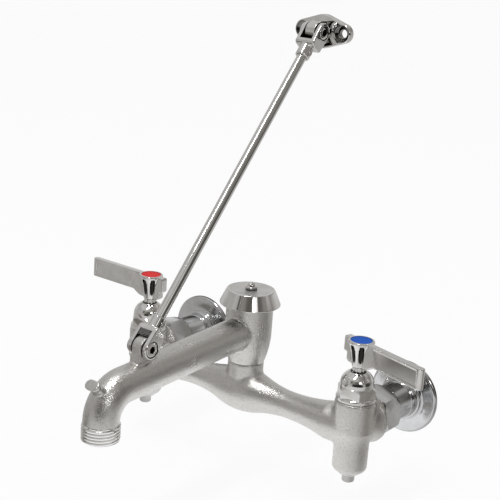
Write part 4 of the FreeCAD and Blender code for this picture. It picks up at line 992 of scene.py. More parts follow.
@dataclass
class Spout(Assembly):
    """The spout casting: hub, arm, bend, hose thread, brace lug and pail hook."""

    hub_radius: float = 18.1
    hub_top: float = 68.0
    tube_height: float = 45.1
    droop: float = 2.9
    tube_radius: float = 12.7
    mouth_radius: float = 9.2
    outlet_place: float = -232.7
    bend_radius: float = 20.5
    outlet_height: float = 3.9
    thread_radius: float = 13.49
    thread_depth: float = 1.15
    thread_top: float = 16.5
    thread_pitch: float = 2.209
    thread_turns: int = 8
    hook_angle: float = 43.4
    grain: float = 0.55

    def bend_centre(self) -> Vector:
        """The centre of the bend.

        Returns:
            Its place, in millimetres.
        """
        droop = math.radians(self.droop)
        out = self.outlet_place + self.bend_radius
        start_out = out - self.bend_radius * math.sin(droop)
        start_height = self.tube_height + (start_out + VALVE_STANDOFF) * math.tan(droop)
        return Vector((0, out, start_height - self.bend_radius * math.cos(droop)))

    def tube(self) -> Piece:
        """A round bar from the hub's axis, along the arm, round the bend and down into the thread.

        Returns:
            The bar.
        """
        droop = math.radians(self.droop)
        centre = self.bend_centre()
        end = self.thread_top - 0.4
        start = Vector((0, -VALVE_STANDOFF, self.tube_height))
        bend_start = centre + Vector((0, -math.sin(droop), math.cos(droop))) * self.bend_radius
        start_clean()
        bpy.ops.mesh.primitive_circle_add(
            vertices=64, radius=self.tube_radius * MM, fill_type="NGON", location=start * MM,
            rotation=(math.radians(90 + self.droop), 0, 0))
        piece = just_added("tube")
        bpy.ops.object.transform_apply(location=True, rotation=True, scale=True)
        bpy.ops.object.mode_set(mode="EDIT")
        bpy.ops.mesh.extrude_region_move(TRANSFORM_OT_translate={"value": (bend_start - start) * MM})
        bpy.ops.mesh.spin(steps=28, angle=math.radians(self.droop - 90), center=centre * MM, axis=(1, 0, 0))
        bpy.ops.mesh.extrude_region_move(TRANSFORM_OT_translate={"value": (0, 0, (end - centre.z) * MM)})
        close_skin()
        return piece

    def lug(self) -> Piece:
        """The plate that carries the brace's lower pivot."""
        outline = [(-11.0, -14.0), (11.0, -14.0), *arc_points((0, 0), LUG_RADIUS, -10, 190, 20)]
        return moved(slab("lug", -LUG_THICKNESS / 2, outline, LUG_THICKNESS), shift(*LOWER_PIN))

    def oblong(self, name: str, width: float, height: float, foot: float, end: float) -> Piece:
        """A bar of oblong section along the hook's direction.

        Args:
            name: the bar's name.
            width: its width.
            height: its height.
            foot: how far from the bend's centre it starts.
            end: how far from there it ends.

        Returns:
            The bar.
        """
        flat, small = (width - height) / 2, height / 2
        corners = []
        for degrees in range(-90, 270, 15):
            angle = math.radians(degrees + 7.5)
            across = math.copysign(flat, math.cos(angle)) + small * math.cos(angle)
            corners.append(Vector((across, small * math.sin(angle), foot)) * MM)
        piece = prism(name, corners, Vector((0, 0, (end - foot) * MM)))
        return moved(piece, shift(*self.bend_centre()) @ turn_about("X", 90 - self.hook_angle))

    def ridge(self, root: float) -> Piece:
        """One ridge that climbs round the outlet, longer than the thread at both ends.

        Args:
            root: the radius of the thread's root.

        Returns:
            The ridge.
        """
        half = self.thread_pitch / 2
        crest = self.thread_radius
        rows = (
            (root - 0.6, -half), (root, -half * 0.86), (crest, -half * 0.28), (crest, half * 0.28),
            (root, half * 0.86), (root - 0.6, half))
        piece = draw_line("outlet_hose_thread", [Vector((radius, 0, up)) * MM for radius, up in rows])
        bpy.ops.mesh.edge_face_add()
        bpy.ops.object.mode_set(mode="OBJECT")
        apply_modifier(
            piece, "SCREW", angle=FULL_TURN, screw_offset=self.thread_pitch * MM,
            iterations=self.thread_turns, steps=56, render_steps=56, use_merge_vertices=False)
        make_active(piece)
        bpy.ops.object.mode_set(mode="EDIT")
        close_skin()
        return moved(piece, shift(0, self.outlet_place, self.outlet_height - 2.2))

    def hose_thread(self) -> None:
        """The outlet's hose thread: the ridge, cut to length, on a core."""
        mouth, low, high = self.mouth_radius, self.outlet_height, self.thread_top
        root, outside = self.thread_radius - self.thread_depth, self.thread_radius + 0.02
        ridge = self.ridge(root)
        core = turned("core", [
            (mouth, low), (root + 0.1, low), (root + 0.1, high + 2), (mouth, high + 2), (mouth, low)])
        envelope = turned("envelope", [
            (mouth, low), (self.thread_radius - 1.3, low), (outside, low + 1.1), (outside, high - 0.9),
            (root - 0.3, high + 0.2), (mouth, high + 0.2), (mouth, low)])
        for way, tool in ((Way.KEEP, envelope), (Way.ADD, core)):
            worked(ridge, way, moved(tool, shift(0, self.outlet_place, 0)), "EXACT")
        round_edges(ridge, 0.14, 2, 28)
        self.fit(ridge, "polished_chrome", "faucet", angle=50)

    def build(self) -> None:
        """Cast the spout, bore it and cut its thread."""
        hub = moved(turned("hub", [
            (0, SEAM_HEIGHT), (13.9, SEAM_HEIGHT), (self.hub_radius, 44.0, 73.0, 16),
            (self.hub_radius, self.hub_top), (0, self.hub_top)]), valve_line())
        reach = self.bend_radius + self.tube_radius
        solids = [
            hub, self.tube(), self.lug(), self.oblong("hook_neck", 9.8, 6.2, reach - 3, reach + 8.4),
            self.oblong("hook_head", 12.0, 7.6, reach + 5.9, reach + 9.2)]
        casting = cast("spout_casting", solids, self.grain, 6)
        fill_hollows(casting, self.grain, 4, 30)
        chamber = moved(
            stepped("chamber", 18.0, (11.0, 31.7), (9.9, 55.2), (13.0, 63.0), (15.2, 70.0)), valve_line())
        mouth = bar("mouth", self.mouth_radius, 24.0, shift(0, self.outlet_place, 2.0))
        pin = cross_bar("pin", PIN_RADIUS, 14.0, (-7.0, LOWER_PIN[1], LOWER_PIN[2]))
        worked(casting, Way.CUT, joined("openings", [chamber, mouth, pin]))
        self.fit(casting, "cast_chrome", "faucet", "spout")
        self.hose_thread()


@dataclass
class VacuumBreaker(Assembly):
    """The cap over the vent on the hub, and the acorn nut that holds it."""

    top: float = 77.25
    top_radius: float = 18.5
    rim_radius: float = 23.4
    rim_height: float = 65.6
    wall: float = 1.6
    hole_radius: float = 2.5
    sunk: float = 0.18
    nut_flats: float = 8.8
    nut_height: float = 2.4
    shaded_height: float = 2.2

    def satin_top(self, places: np.ndarray) -> np.ndarray:
        """The share of each place that lies on the cap's satin top."""
        inside = np.hypot(places[:, 0], places[:, 1]) < self.top_radius - 1.2
        return (places[:, 2] > self.top - 0.3) & inside

    def cap(self) -> None:
        """The bell-shaped cap, its top a little sunk."""
        top, rim, low = self.top, self.rim_radius, self.rim_height
        hole, inner = self.hole_radius, self.rim_radius - self.wall
        slope = (rim - self.top_radius) / (top - low - 1.3)
        cap = turned("breaker_cap", [
            (hole, top - self.wall), (self.top_radius - self.wall, top - self.wall), (inner, low + 1.3),
            (inner, low), (rim - 0.6, low), (rim, low + 0.6, 0.6, 5), (rim - 0.1, low + 1.0, 0.8, 4),
            (self.top_radius + slope * 0.7, top - 0.7), (self.top_radius - 0.9, top, 1.1, 6),
            (self.top_radius - 1.6, top), (self.top_radius - 1.9, top - self.sunk),
            (hole, top - self.sunk), (hole, top - self.wall)], 128)
        store_share(cap, "satin_share", self.satin_top)
        self.fit(moved(cap, valve_line()), "polished_chrome", "faucet", "vacuum_breaker_cap")

    def nut(self) -> None:
        """The acorn nut, with shade painted darker towards its foot."""
        top, foot, high = self.top, self.top - 0.2, self.top + self.nut_height
        nut = hexagon_bar("acorn_nut", self.nut_flats, foot, high, 15)
        worked(nut, Way.KEEP, turned("trim", [
            (0, foot), (5.0, foot), (5.0, top + 1.6), (4.0, high), (0, high)]))
        worked(nut, Way.ADD, turned("dome", [
            (0, top + 1.2), (3.5, top + 1.2), (3.5, top + 2.9), (0, top + 5.72, 3.55, 10)], 48))
        moved(nut, valve_line())
        round_edges(nut, 0.18, 2, 25)
        # Painted shade: the hex's colour darkens towards its foot, over the shaded height.
        shade = self.shaded_height
        store_share(nut, "painted_shade_share", lambda places: (top + shade - places[:, 2]) / shade)
        self.fit(nut, "polished_chrome", "faucet", "vacuum_breaker_nut", angle=45)

    def build(self) -> None:
        """Turn the cap and shape the nut."""
        self.cap()
        self.nut()


@dataclass
class Valve(Assembly):
    """What shows on one valve: bonnet, stop, coupling nut and wall flange."""

    side: str
    x: float
    nut_turn: float
    bonnet_flats: float = 25.8
    bonnet_turn: float = -49.5
    nut_flats: float = 35.5
    stop_turn: float = 126.0
    stop_end: float = -47.1

    def bonnet(self) -> None:
        """The hexagon bonnet with its domed top."""
        piece = hexagon_bar(self.side + "_valve_bonnet", self.bonnet_flats, 20.6, 29.9, self.bonnet_turn)
        worked(piece, Way.KEEP, turned("trim", [
            (0, 20.6), (15.2, 20.6), (15.2, 27.2), (12.4, 29.9), (0, 29.9)]))
        worked(piece, Way.ADD, turned("dome", [
            (0, 25.0), (12.6, 25.0), (12.6, 29.3), (7.0, 39.9, 10.5, 14), (6.4, 40.3, 0.7, 3),
            (5.9, 40.0, 0.6, 3), (5.9, 39.0), (0, 39.0)], 96))
        worked(piece, Way.ADD, turned("collar", [
            (0, 18.6), (14.4, 18.6), (14.9, 19.1), (14.9, 20.8), (14.3, 21.7, 1.2, 5), (12.9, 22.0),
            (0, 22.0)], 96))
        worked(piece, Way.CUT, stepped("bore", 18.0, (9.7, 30.6), (5.7, 42.0)))
        moved(piece, valve_line(self.x))
        round_edges(piece, 0.25, 2, 24)
        self.fit(piece, "polished_chrome", "faucet", self.side + "_bonnet", angle=28)

    def stop(self) -> None:
        """The end of the screwdriver stop under the valve."""
        end = self.stop_end
        piece = turned(self.side + "_stop_end", [
            (0, end), (3.4, end), (4.75, -45.75, 1.5, 6), (4.75, -16.0), (6.2, -16.0), (6.2, -11.5),
            (0, -11.5)], 56)
        worked(piece, Way.CUT, box("slot", (1.3, 14, 3.6), (0, 0, end)))
        moved(piece, valve_line(self.x) @ turn_about("Z", self.stop_turn))
        self.fit(piece, "steel", self.side + "_stop_screw", self.side + "_stop_stem")

    def coupling(self, seat: Matrix) -> None:
        """The coupling nut with its round skirt.

        Args:
            seat: the inlet's place, its axis away from the wall.
        """
        nut = hexagon_bar(self.side + "_union_nut", self.nut_flats, 33.0, 56.2, self.nut_turn)
        worked(nut, Way.KEEP, turned("trim", [
            (0, 33.2), (16.6, 33.2), (17.5, 34.2), (20.6, 41.0), (20.6, 54.4), (17.4, 56.2), (0, 56.2)], 96))
        worked(nut, Way.ADD, turned("skirt", [
            (0, 12.2), (14.6, 12.2), (15.2, 12.8, 0.6, 4), (15.2, 13.6), (14.6, 14.2, 0.6, 4), (14.6, 33.6),
            (0, 33.6)], 96))
        worked(nut, Way.CUT, stepped("bore", 11.0, (12.5, 40.4), (14.3, 58.0), segments=96))
        moved(nut, seat)
        round_edges(nut, 0.3, 2, 24)
        self.fit(nut, "turned_chrome", "faucet", self.side + "_coupling_nut", angle=28)

    def flange(self, seat: Matrix) -> None:
        """The wall flange with its tailpiece.

        Args:
            seat: the inlet's place, its axis away from the wall.
        """
        flange = turned(self.side + "_flange_plate", [
            (9.13, 0), (28.9, 0), (28.9, 1.5), (26.4, 2.9, 2.2, 5), (19.6, 3.7, -60, 8), (17.0, 4.6, -4, 5),
            (17.0, 5.9), (16.3, 6.6, 0.7, 4), (15.5, 7.0, -1.2, 4), (14.4, 10.8, -12, 8), (12.4, 11.8, 3, 5),
            (12.4, 40.4), (13.9, 40.4), (13.9, 44.4), (7.4, 44.4), (7.4, 14.0), (9.13, 14.0), (9.13, 0)], 128)
        self.fit(moved(flange, seat), "turned_chrome", "faucet", self.side + "_wall_flange")

    def build(self) -> None:
        """Build every piece of the valve."""
        self.bonnet()
        self.stop()
        seat = shift(self.x, 0, 0) @ turn_about("X", 90)
        self.coupling(seat)
        self.flange(seat)


@dataclass
class Lever(Assembly):
    """One lever handle with its index button and the stem under it."""

    side: str
    x: float
    pointing: float
    top: float = 64.2
    foot: float = 43.7
    hub_radius: float = 9.75
    length: float = 63.4
    height: float = 15.8
    thickness: float = 5.6
    tail: float = 15.0
    panel_depth: float = 0.55
    button_seat: float = 62.9
    flute_angles: tuple = (38, 90, 142, -38, -90, -142)
    flute_radius: float = 1.95
    flute_place: float = 7.25
    flute_foot: float = 46.2
    flute_top: float = 62.6
    rib_count: int = 10
    grain: float = 0.32

    def blank(self) -> Piece:
        """The hub, the blade and the tail, melted into one skin.

        Returns:
            The blank, about the stem's axis.
        """
        top, foot, rim, tail = self.top, self.foot, self.hub_radius, self.tail
        hub = turned("hub", [
            (0, foot), (4.9, foot), (5.5, foot + 0.7), (8.5, top - 4.2, -60, 6), (rim, top - 1.9, -6, 4),
            (rim, top - 0.3), (9.5, top), (0, top)], 96)
        half = self.thickness / 2
        low = top - self.height
        tip = self.length - half
        outline = (
            (-tail + 0.8, top - 0.3), (-tail, top - 1.6), (-tail, 53.0), (-tail + 1, 52.0), (-11.4, 52.0),
            (-11.4, 46.6), (-9.4, 44.8), (7.5, 44.4), (10.4, 45.0), (13.2, 46.4), (16.5, low), (tip, low),
            (tip, top - 0.2))
        points = [Vector((across, -half, up)) * MM for across, up in outline]
        blade = prism("blade", points, Vector((0, self.thickness * MM, 0)))
        end = bar("end", half, self.height - 0.2, shift(tip, 0, low), 48)
        return cast("blank", [hub, blade, end], self.grain, 3)

    def panel(self, side: int) -> Piece:
        """The tool that sinks the panel on one side of the blade.

        Args:
            side: 1 or -1, the side along Y.

        Returns:
            The tool.
        """
        low, high = self.top - self.height + 1.1, self.top - 1.7
        tip = self.length - self.thickness / 2
        outline = ((15.6, high), (21.6, low), (tip - 0.6, low), (tip - 1.6, high))
        start = side * (self.thickness / 2 - self.panel_depth)
        points = [Vector((across, start, up)) * MM for across, up in outline]
        return prism("panel", points, Vector((0, side * 3 * MM, 0)))

    def flute(self, angle: float) -> Piece:
        """The tool that cuts one round-ended flute.

        Args:
            angle: where on the hub it cuts, in degrees.

        Returns:
            The tool.
        """
        foot, top, radius = self.flute_foot, self.flute_top, self.flute_radius
        tool = turned("flute", [
            (0, foot), (radius, foot + 3.4, 3.9, 8), (radius, top - 1.6), (0, top, 2.0, 6)], 32)
        return moved(tool, turn_about("Z", angle) @ shift(self.flute_place, 0, 0))

    def flute_painted_shade(self, places: np.ndarray) -> np.ndarray:
        """How much shade is painted into each place in a flute, by how deep it lies.

        Args:
            places: the places, about the stem's axis.

        Returns:
            The share for each.
        """
        x, y, z = places.T
        heights = (self.foot, self.foot + 0.7, self.top - 4.2, self.top - 1.9)
        surface = np.interp(z, heights, (4.9, 5.5, 8.5, self.hub_radius))
        between = (z > self.flute_foot) & (z < self.flute_top)
        near = np.zeros(len(places), dtype=bool)
        for angle in np.radians(self.flute_angles):
            across = y * np.cos(angle) - x * np.sin(angle)
            along = x * np.cos(angle) + y * np.sin(angle)
            near |= (np.abs(across) < self.flute_radius + 0.1) & (along > 3.0)
        return np.where(between & near, (surface - np.hypot(x, y) - 0.25) / 0.5, 0.0)

    def handle(self, seat: Matrix, body: str) -> None:
        """The handle, fluted, panelled and bored.

        Args:
            seat: the stem's axis, turned to where the lever points.
            body: the body that it rides on.
        """
        blank = self.blank()
        tools = [self.panel(1), self.panel(-1), *(self.flute(angle) for angle in self.flute_angles)]
        for tool in tools:
            worked(blank, Way.CUT, tool)
        piece = cast(self.side + "_lever_handle", [blank], self.grain, 3)
        worked(piece, Way.CUT, stepped("recess", 42.0, (4.05, self.button_seat), (8.1, 66.0), segments=96))
        # Painted shade: the flutes' colour darkens with depth.
        store_share(piece, "painted_shade_share", self.flute_painted_shade)
        self.fit(moved(piece, seat), "polished_chrome", body, self.side + "_handle", angle=32)

    def button(self, seat: Matrix, body: str) -> None:
        """The red or blue index button.

        Args:
            seat: the stem's axis.
            body: the body that it rides on.
        """
        low = self.button_seat
        button = turned(self.side + "_index_disc", [
            (0, low), (8.05, low), (8.05, 63.45), (7.6, 63.9, 0.45, 4), (0, 64.02, 160, 6)], 96)
        slot = "red_button" if self.side == "hot" else "blue_button"
        self.fit(moved(button, seat), slot, body, self.side + "_index_button")

    def stem(self, seat: Matrix, body: str) -> None:
        """The stem, with the splined collar that shows between the bonnet and the handle.

        Args:
            seat: the stem's axis.
            body: the body that it rides on.
        """
        name = self.side + "_splined_stem"
        piece = stepped(name, 24.0, (3.9, 37.4), (4.15, 43.9), (3.9, 52.0), segments=64)
        ribs = []
        for number in range(self.rib_count):
            turn = turn_about("Z", 360 / self.rib_count * number + 9)
            ribs.append(bar("rib", 0.72, 6.3, turn @ shift(4.05, 0, 37.5), 12))
        for rib in ribs:
            worked(piece, Way.ADD, rib, "EXACT")
        self.fit(moved(piece, seat), "polished_chrome", body, self.side + "_stem", angle=40)

    def build(self) -> None:
        """Shape the handle, its button and the stem."""
        seat = valve_line(self.x) @ turn_about("Z", self.pointing)
        body = self.side + "_lever"
        self.handle(seat, body)
        self.button(seat, body)
        self.stem(seat, body)


@dataclass
class Brace(Assembly):
    """The rod from the spout up to the wall, its clevises, screws and bracket."""

    rod_radius: float = 3.75
    rod_end_radius: float = 3.3
    half_width: float = 8.5
    half_depth: float = 7.3
    bridge_depth: float = 6.6
    slot_depth: float = 11.0
    slot_width: float = 10.7
    slot_shade: float = 0.70
    collar_radius: float = 5.6
    collar_end: float = 23.8
    recess_floor: float = 5.8
    recess_radius: float = 6.0
    recess_shade: float = 0.80
    socket_floor: float = 4.2
    plate_reach: float = 18.0
    plate_half: float = 13.0
    plate_tip: float = 7.4
    plate_thickness: float = 6.0
    hole_shade: float = 0.55
    grain: float = 0.3

    def clevis(self) -> Piece:
        """A clevis about its own pin, its rod running up Z.

        Returns:
            The clevis.
        """
        top, bridge = self.slot_depth + 4.2, self.bridge_depth
        end, radius = self.collar_end, self.collar_radius
        outline = [
            *arc_points((0, 0), self.half_depth, 180, 360, 18),
            (bridge, top - 1.6), (bridge - 1.6, top), (1.6 - bridge, top), (-bridge, top - 1.6)]
        block = slab("block", -self.half_width, outline, 2 * self.half_width)
        round_edges(block, 0.9, 3, 40)
        collar = turned("collar", [
            (0, 9.0), (radius, 9.0), (radius, end - 0.6), (radius - 0.6, end), (0, end)], 64)
        boss = cross_bar("boss", 6.0, 3.0, (-self.half_width - 1.8, 0, 0), 48)
        piece = cast("clevis", [block, collar, boss], self.grain, 4)
        worked(piece, Way.CUT, box("slot", (self.slot_width, 40, 2 * self.slot_depth)))
        worked(piece, Way.CUT, cross_bar("hole", PIN_RADIUS, 30.0, (-15, 0, 0), 48))
        recess = turned("recess", [
            (0, self.recess_floor), (self.recess_radius, self.recess_floor), (self.recess_radius, 8.2),
            (6.5, 8.9), (0, 8.9)], 56)
        worked(piece, Way.CUT, moved(recess, turn_about("Y", 90)))
        worked(piece, Way.CUT, turned("bore", [
            (0, 12.9), (3.8, 12.9), (3.8, end - 0.9), (4.7, end + 0.4), (0, end + 0.4)], 56))
        worked(piece, Way.CUT, cross_bar("set_hole", 2.05, 8.0, (0, 0, 19.6), 32))
        # Painted shade in the slot and in the recess round the screw's head.
        store_share(piece, "painted_shade_share", self.clevis_painted_shade)
        return piece

    def clevis_painted_shade(self, places: np.ndarray) -> np.ndarray:
        """How much shade is painted into each place in the clevis's slot, or in the recess round its screw's
        head.

        Args:
            places: the places, about the pin.

        Returns:
            The share for each.
        """
        x, y, z = places.T
        in_slot = (np.abs(x) < self.slot_width / 2 + 0.02) & (z < self.slot_depth + 0.02)
        in_recess = (x > self.recess_floor - 0.1) & (x < 8.1) & (np.hypot(y, z) < self.recess_radius + 0.05)
        return np.where(in_slot, self.slot_shade, np.where(in_recess, self.recess_shade, 0.0))

    def pivot_screw(self) -> Piece:
        """A socket screw along Z, its head up.

        Returns:
            The screw.
        """
        piece = turned("pivot_screw", [
            (0, -10.2), (2.7, -10.2), (3.2, -9.7), (3.2, 5.9), (5.3, 5.9), (5.3, 7.6), (4.7, 8.2, 0.6, 4),
            (0, 8.2)], 56)
        worked(piece, Way.CUT, hexagon_bar("socket", 5.0, self.socket_floor, 9.0, 12))
        # Painted shade inside the socket.
        store_share(piece, "painted_shade_share", self.socket_painted_shade)
        return piece

    def socket_painted_shade(self, places: np.ndarray) -> np.ndarray:
        """How much shade is painted into each place in the screw's socket, by how deep it lies."""
        x, y, z = places.T
        return ((z > self.socket_floor - 0.1) & (np.hypot(x, y) < 2.95)) * (8.0 - z) * 4

    def plate(self) -> Piece:
        """The bracket's diamond plate, four arcs with straight sides between them.

        Returns:
            The plate, its back on the wall.
        """
        reach, half, tip = self.plate_reach, self.plate_half, self.plate_tip
        edge = math.degrees(math.asin((half - tip) / reach))
        arcs = (
            (reach, tip, -90 + edge, 90 - edge), (0.0, half, 90 - edge, 90 + edge),
            (-reach, tip, 90 + edge, 270 - edge), (0.0, half, 270 - edge, 270 + edge))
        points = []
        for middle, radius, first, last in arcs:
            count = max(6, int(abs(last - first) / 8))
            pairs = arc_points((middle, 0.0), radius, first, last, count)
            points += [Vector((across, 0, up)) * MM for across, up in pairs]
        piece = prism("plate", points, Vector((0, -self.plate_thickness * MM, 0)))
        round_edges(piece, 1.1, 3, 50)
        return piece

    def hole_painted_shade(self, places: np.ndarray) -> np.ndarray:
        """How much shade is painted into each place in one of the bracket's screw holes, by how deep it lies.

        Args:
            places: the places, the plate's middle on the wall.

        Returns:
            The share for each.
        """
        x, y, z = places.T
        inside = np.hypot(np.abs(x) - self.plate_reach, z) < 6.6
        share = np.where(inside, (y + self.plate_thickness) / 2.0, 0.0)
        return share.clip(0.0, 1.0) * self.hole_shade

    def bracket(self) -> None:
        """The plate on the wall with its lug and its two screw holes."""
        out, up = UPPER_PIN[1], UPPER_PIN[2]
        plate = self.plate()
        lug = cross_bar("lug_head", LUG_RADIUS, LUG_THICKNESS, (-LUG_THICKNESS / 2, out, 0))
        web = box("web", (LUG_THICKNESS, -(out + 1), 16.4), (0, (out - 1) / 2, 0))
        piece = cast("bracket_plate", [plate, lug, web], self.grain, 5)
        tools = [cross_bar("pin", PIN_RADIUS, 14.0, (-7.0, out, 0), 48)]
        for x in (-self.plate_reach, self.plate_reach):
            hole = turned("hole", [
                (0, -1.0), (3.3, -1.0), (3.3, 3.4), (6.4, 3.4), (6.4, 6.1), (6.7, 6.6), (0, 6.6)], 48)
            tools.append(moved(hole, shift(x, 0, 0) @ turn_about("X", 90)))
        worked(piece, Way.CUT, joined("tools", tools))
        # Painted shade in the screw holes.
        store_share(piece, "painted_shade_share", self.hole_painted_shade)
        self.fit(moved(piece, shift(0, 0, up)), "polished_chrome", "brace_bracket", "wall_bracket", angle=32)

    def rod(self) -> None:
        """The rod between both clevises."""
        span = (Vector(UPPER_PIN) - Vector(LOWER_PIN)).length
        end, radius = self.rod_end_radius, self.rod_radius
        rod = turned("brace_bar_rod", [
            (0, 13.0), (end, 13.0), (radius, 13.5), (radius, span - 13.5), (end, span - 13.0),
            (0, span - 13.0)], 64)
        moved(rod, shift(*LOWER_PIN) @ turn_about("X", BRACE_TILT - 90))
        self.fit(rod, "polished_chrome", "brace_bar", "brace_rod")

    def build(self) -> None:
        """Place both clevises, their screws, the rod and the bracket."""
        clevis, screw = self.clevis(), self.pivot_screw()
        ends = (
            ("lower", LOWER_PIN, BRACE_TILT - 90, "brace_foot"),
            ("upper", UPPER_PIN, BRACE_TILT + 90, "brace_bar"))
        for name, pin, angle, body in ends:
            fork = copied(clevis, name + "_fork", shift(*pin) @ turn_about("X", angle))
            self.fit(fork, "polished_chrome", body, name + "_clevis", angle=32)
            pivot = copied(screw, name + "_socket_screw", shift(*pin) @ turn_about("Y", 90))
            self.fit(pivot, "polished_chrome", body, name + "_pivot_screw")
        for spare in (clevis, screw):
            bpy.data.objects.remove(spare, do_unlink=True)
        self.rod()
        self.bracket()


# Studio


@dataclass
class Studio:
    """Floor, backdrop, lamps and camera, and the room that only reflections see.

    Each set of bands gives greys by the angle in degrees: round the faucet, from the camera's side, or for
    the wall round each inlet, from the side of +X.
    """

    camera_place: tuple = (524.8, -786.8, 362.8)
    target: tuple = (-15.69, -56.78, 101.46)
    roll: float = 4.08
    focal_pixels: float = 1219.65
    frame_pixels: float = 500.0
    heart: tuple = (0, -0.09, 0.06)
    tent_radius: float = 2.6
    floor_height: float = -0.075
    sweep_start: float = 0.10
    sweep_end: float = 0.23
    wall_reach: float = 0.039
    wall_fade: float = 0.046
    horizon_bands: tuple = (
        (-180, 0.75), (-128, 0.60), (-108, 0.44), (-88, 0.48), (-66, 0.50), (-52, 0.48), (-47, 0.46),
        (-38, 0.42), (-33, 0.06), (0, 0.015), (30, 0.03), (38, 0.42), (48, 0.45), (53, 0.06), (78, 0.05),
        (96, 0.28), (122, 0.60), (180, 0.75))
    raised_bands: tuple = (
        (-180, 0.58), (-120, 0.46), (-80, 0.44), (-68, 0.52), (-56, 0.46), (-50, 0.10), (-46, 0.16),
        (-38, 0.30), (-22, 0.26), (-12, 0.14), (4, 0.12), (21, 0.16), (24, 1.30), (31, 1.30), (34, 0.13),
        (50, 0.17), (58, 0.27), (72, 0.30), (80, 0.50), (92, 0.54), (98, 0.27), (125, 0.27), (145, 0.42),
        (180, 0.58))
    ceiling_bands: tuple = (
        (-180, 0.66), (-100, 0.62), (-30, 0.60), (5, 0.48), (22, 0.30), (60, 0.27), (88, 0.32), (115, 0.50),
        (180, 0.66))
    wall_bands: tuple = (
        (-180, 0.30), (-60, 0.35), (-25, 0.50), (5, 0.45), (16, 0.10), (30, 0.04), (44, 0.14), (54, 0.42),
        (66, 0.46), (74, 0.10), (96, 0.07), (125, 0.05), (180, 0.20))
    table_bands: tuple = (
        (-180, 0.60), (-135, 0.52), (-96, 0.47), (-87, 0.44), (-84, 0.20), (-70, 0.22), (-64, 0.55),
        (-48, 0.66), (-20, 0.74), (20, 0.72), (45, 0.60), (58, 0.30), (72, 0.26), (88, 0.42), (120, 0.55),
        (180, 0.60))

    def aimed(self, thing: Piece, place: Vector, target: Vector, roll: float = 0.0) -> None:
        """Put a camera or a lamp in the scene.

        Args:
            thing: the camera or the lamp.
            place: where it stands, in metres.
            target: what it looks at, in metres.
            roll: how far it is turned about its line of sight, in degrees.
        """
        bpy.context.scene.collection.objects.link(thing)
        aim = (target - place).to_track_quat("-Z", "Y")
        thing.matrix_world = Matrix.Translation(place) @ aim.to_matrix().to_4x4() @ turn_about("Z", roll)

    def camera(self) -> None:
        """The camera at the photograph's angle."""
        data = bpy.data.cameras.new("camera")
        data.sensor_width = 36.0
        data.lens = self.focal_pixels / self.frame_pixels * data.sensor_width
        data.clip_end = 50.0
        camera = bpy.data.objects.new("camera", data)
        self.aimed(camera, Vector(self.camera_place) * MM, Vector(self.target) * MM, self.roll)
        bpy.context.scene.camera = camera

    def lamp(self, name: str, place: tuple, width: float, length: float, power: float) -> None:
        """A soft strip light aimed at the faucet.

        Args:
            name: the lamp's name.
            place: where it hangs, in metres.
            width: its width, in metres.
            length: its length, in metres.
            power: its power, in watts.
        """
        data = bpy.data.lights.new(name, "AREA")
        data.shape = "RECTANGLE"
        data.size = width
        data.size_y = length
        data.energy = power
        self.aimed(bpy.data.objects.new(name, data), Vector(place), Vector(self.heart))

    def seen_directly(self, sheet: Sheet) -> Socket:
        """Tell camera, glossy and transmission rays from the rest.

        Args:
            sheet: the sheet for the nodes.

        Returns:
            1 for those rays, 0 for the rest.
        """
        path = sheet.add("ShaderNodeLightPath")
        seen = sheet.number("MAXIMUM", path.outputs["Is Camera Ray"], path.outputs["Is Glossy Ray"])
        return sheet.number("MAXIMUM", seen, path.outputs["Is Transmission Ray"])

    def world(self) -> None:
        """A white backdrop all round, softer as a source of light."""
        world = bpy.data.worlds.new("white_studio")
        bpy.context.scene.world = world
        world.use_nodes = True
        sheet = Sheet(world.node_tree)
        white = sheet.add("ShaderNodeBackground", {"Color": WHITE, "Strength": 1.0})
        soft = sheet.add("ShaderNodeBackground", {"Color": (0.96, 0.98, 1, 1), "Strength": 0.7})
        sheet.put_out(self.seen_directly(sheet), soft, white, "World")

    def staged(self, name: str, material: Material) -> None:
        """Name and dress the piece that was just added, which isn't part of the object.

        Args:
            name: its name.
            material: its material.
        """
        piece = just_added(name)
        piece.data.materials.append(material)

    def floor(self) -> None:
        """A plain pale floor that keeps a soft shadow."""
        start_clean()
        bpy.ops.mesh.primitive_plane_add(size=30, location=(0, 0, self.floor_height))
        made, sheet = new_material("white_floor")
        pale = sheet.add("ShaderNodeBsdfDiffuse", {"Color": (0.9, 0.9, 0.9, 1)})
        glow = sheet.add("ShaderNodeEmission", {"Color": WHITE, "Strength": 1.0})
        sheet.put_out(sheet.number("MULTIPLY", self.seen_directly(sheet), 0.9), pale, glow)
        self.staged("floor", made)

    def reflection_only(self, name: str, colour: Callable[[Sheet, Socket], tuple]) -> Material:
        """A material that only reflections see.

        Args:
            name: the material's name.
            colour: lays out the nodes for its colour and cover, from its Object coordinates.

        Returns:
            The material.
        """
        made, sheet = new_material(name)
        tint, cover = colour(sheet, sheet.add("ShaderNodeTexCoord").outputs["Object"])
        glossy = sheet.add("ShaderNodeLightPath").outputs["Is Glossy Ray"]
        clear = sheet.add("ShaderNodeBsdfTransparent")
        glow = sheet.add("ShaderNodeEmission", {"Color": tint, "Strength": 1.0})
        sheet.put_out(sheet.number("MULTIPLY", glossy, cover), clear, glow)
        return made

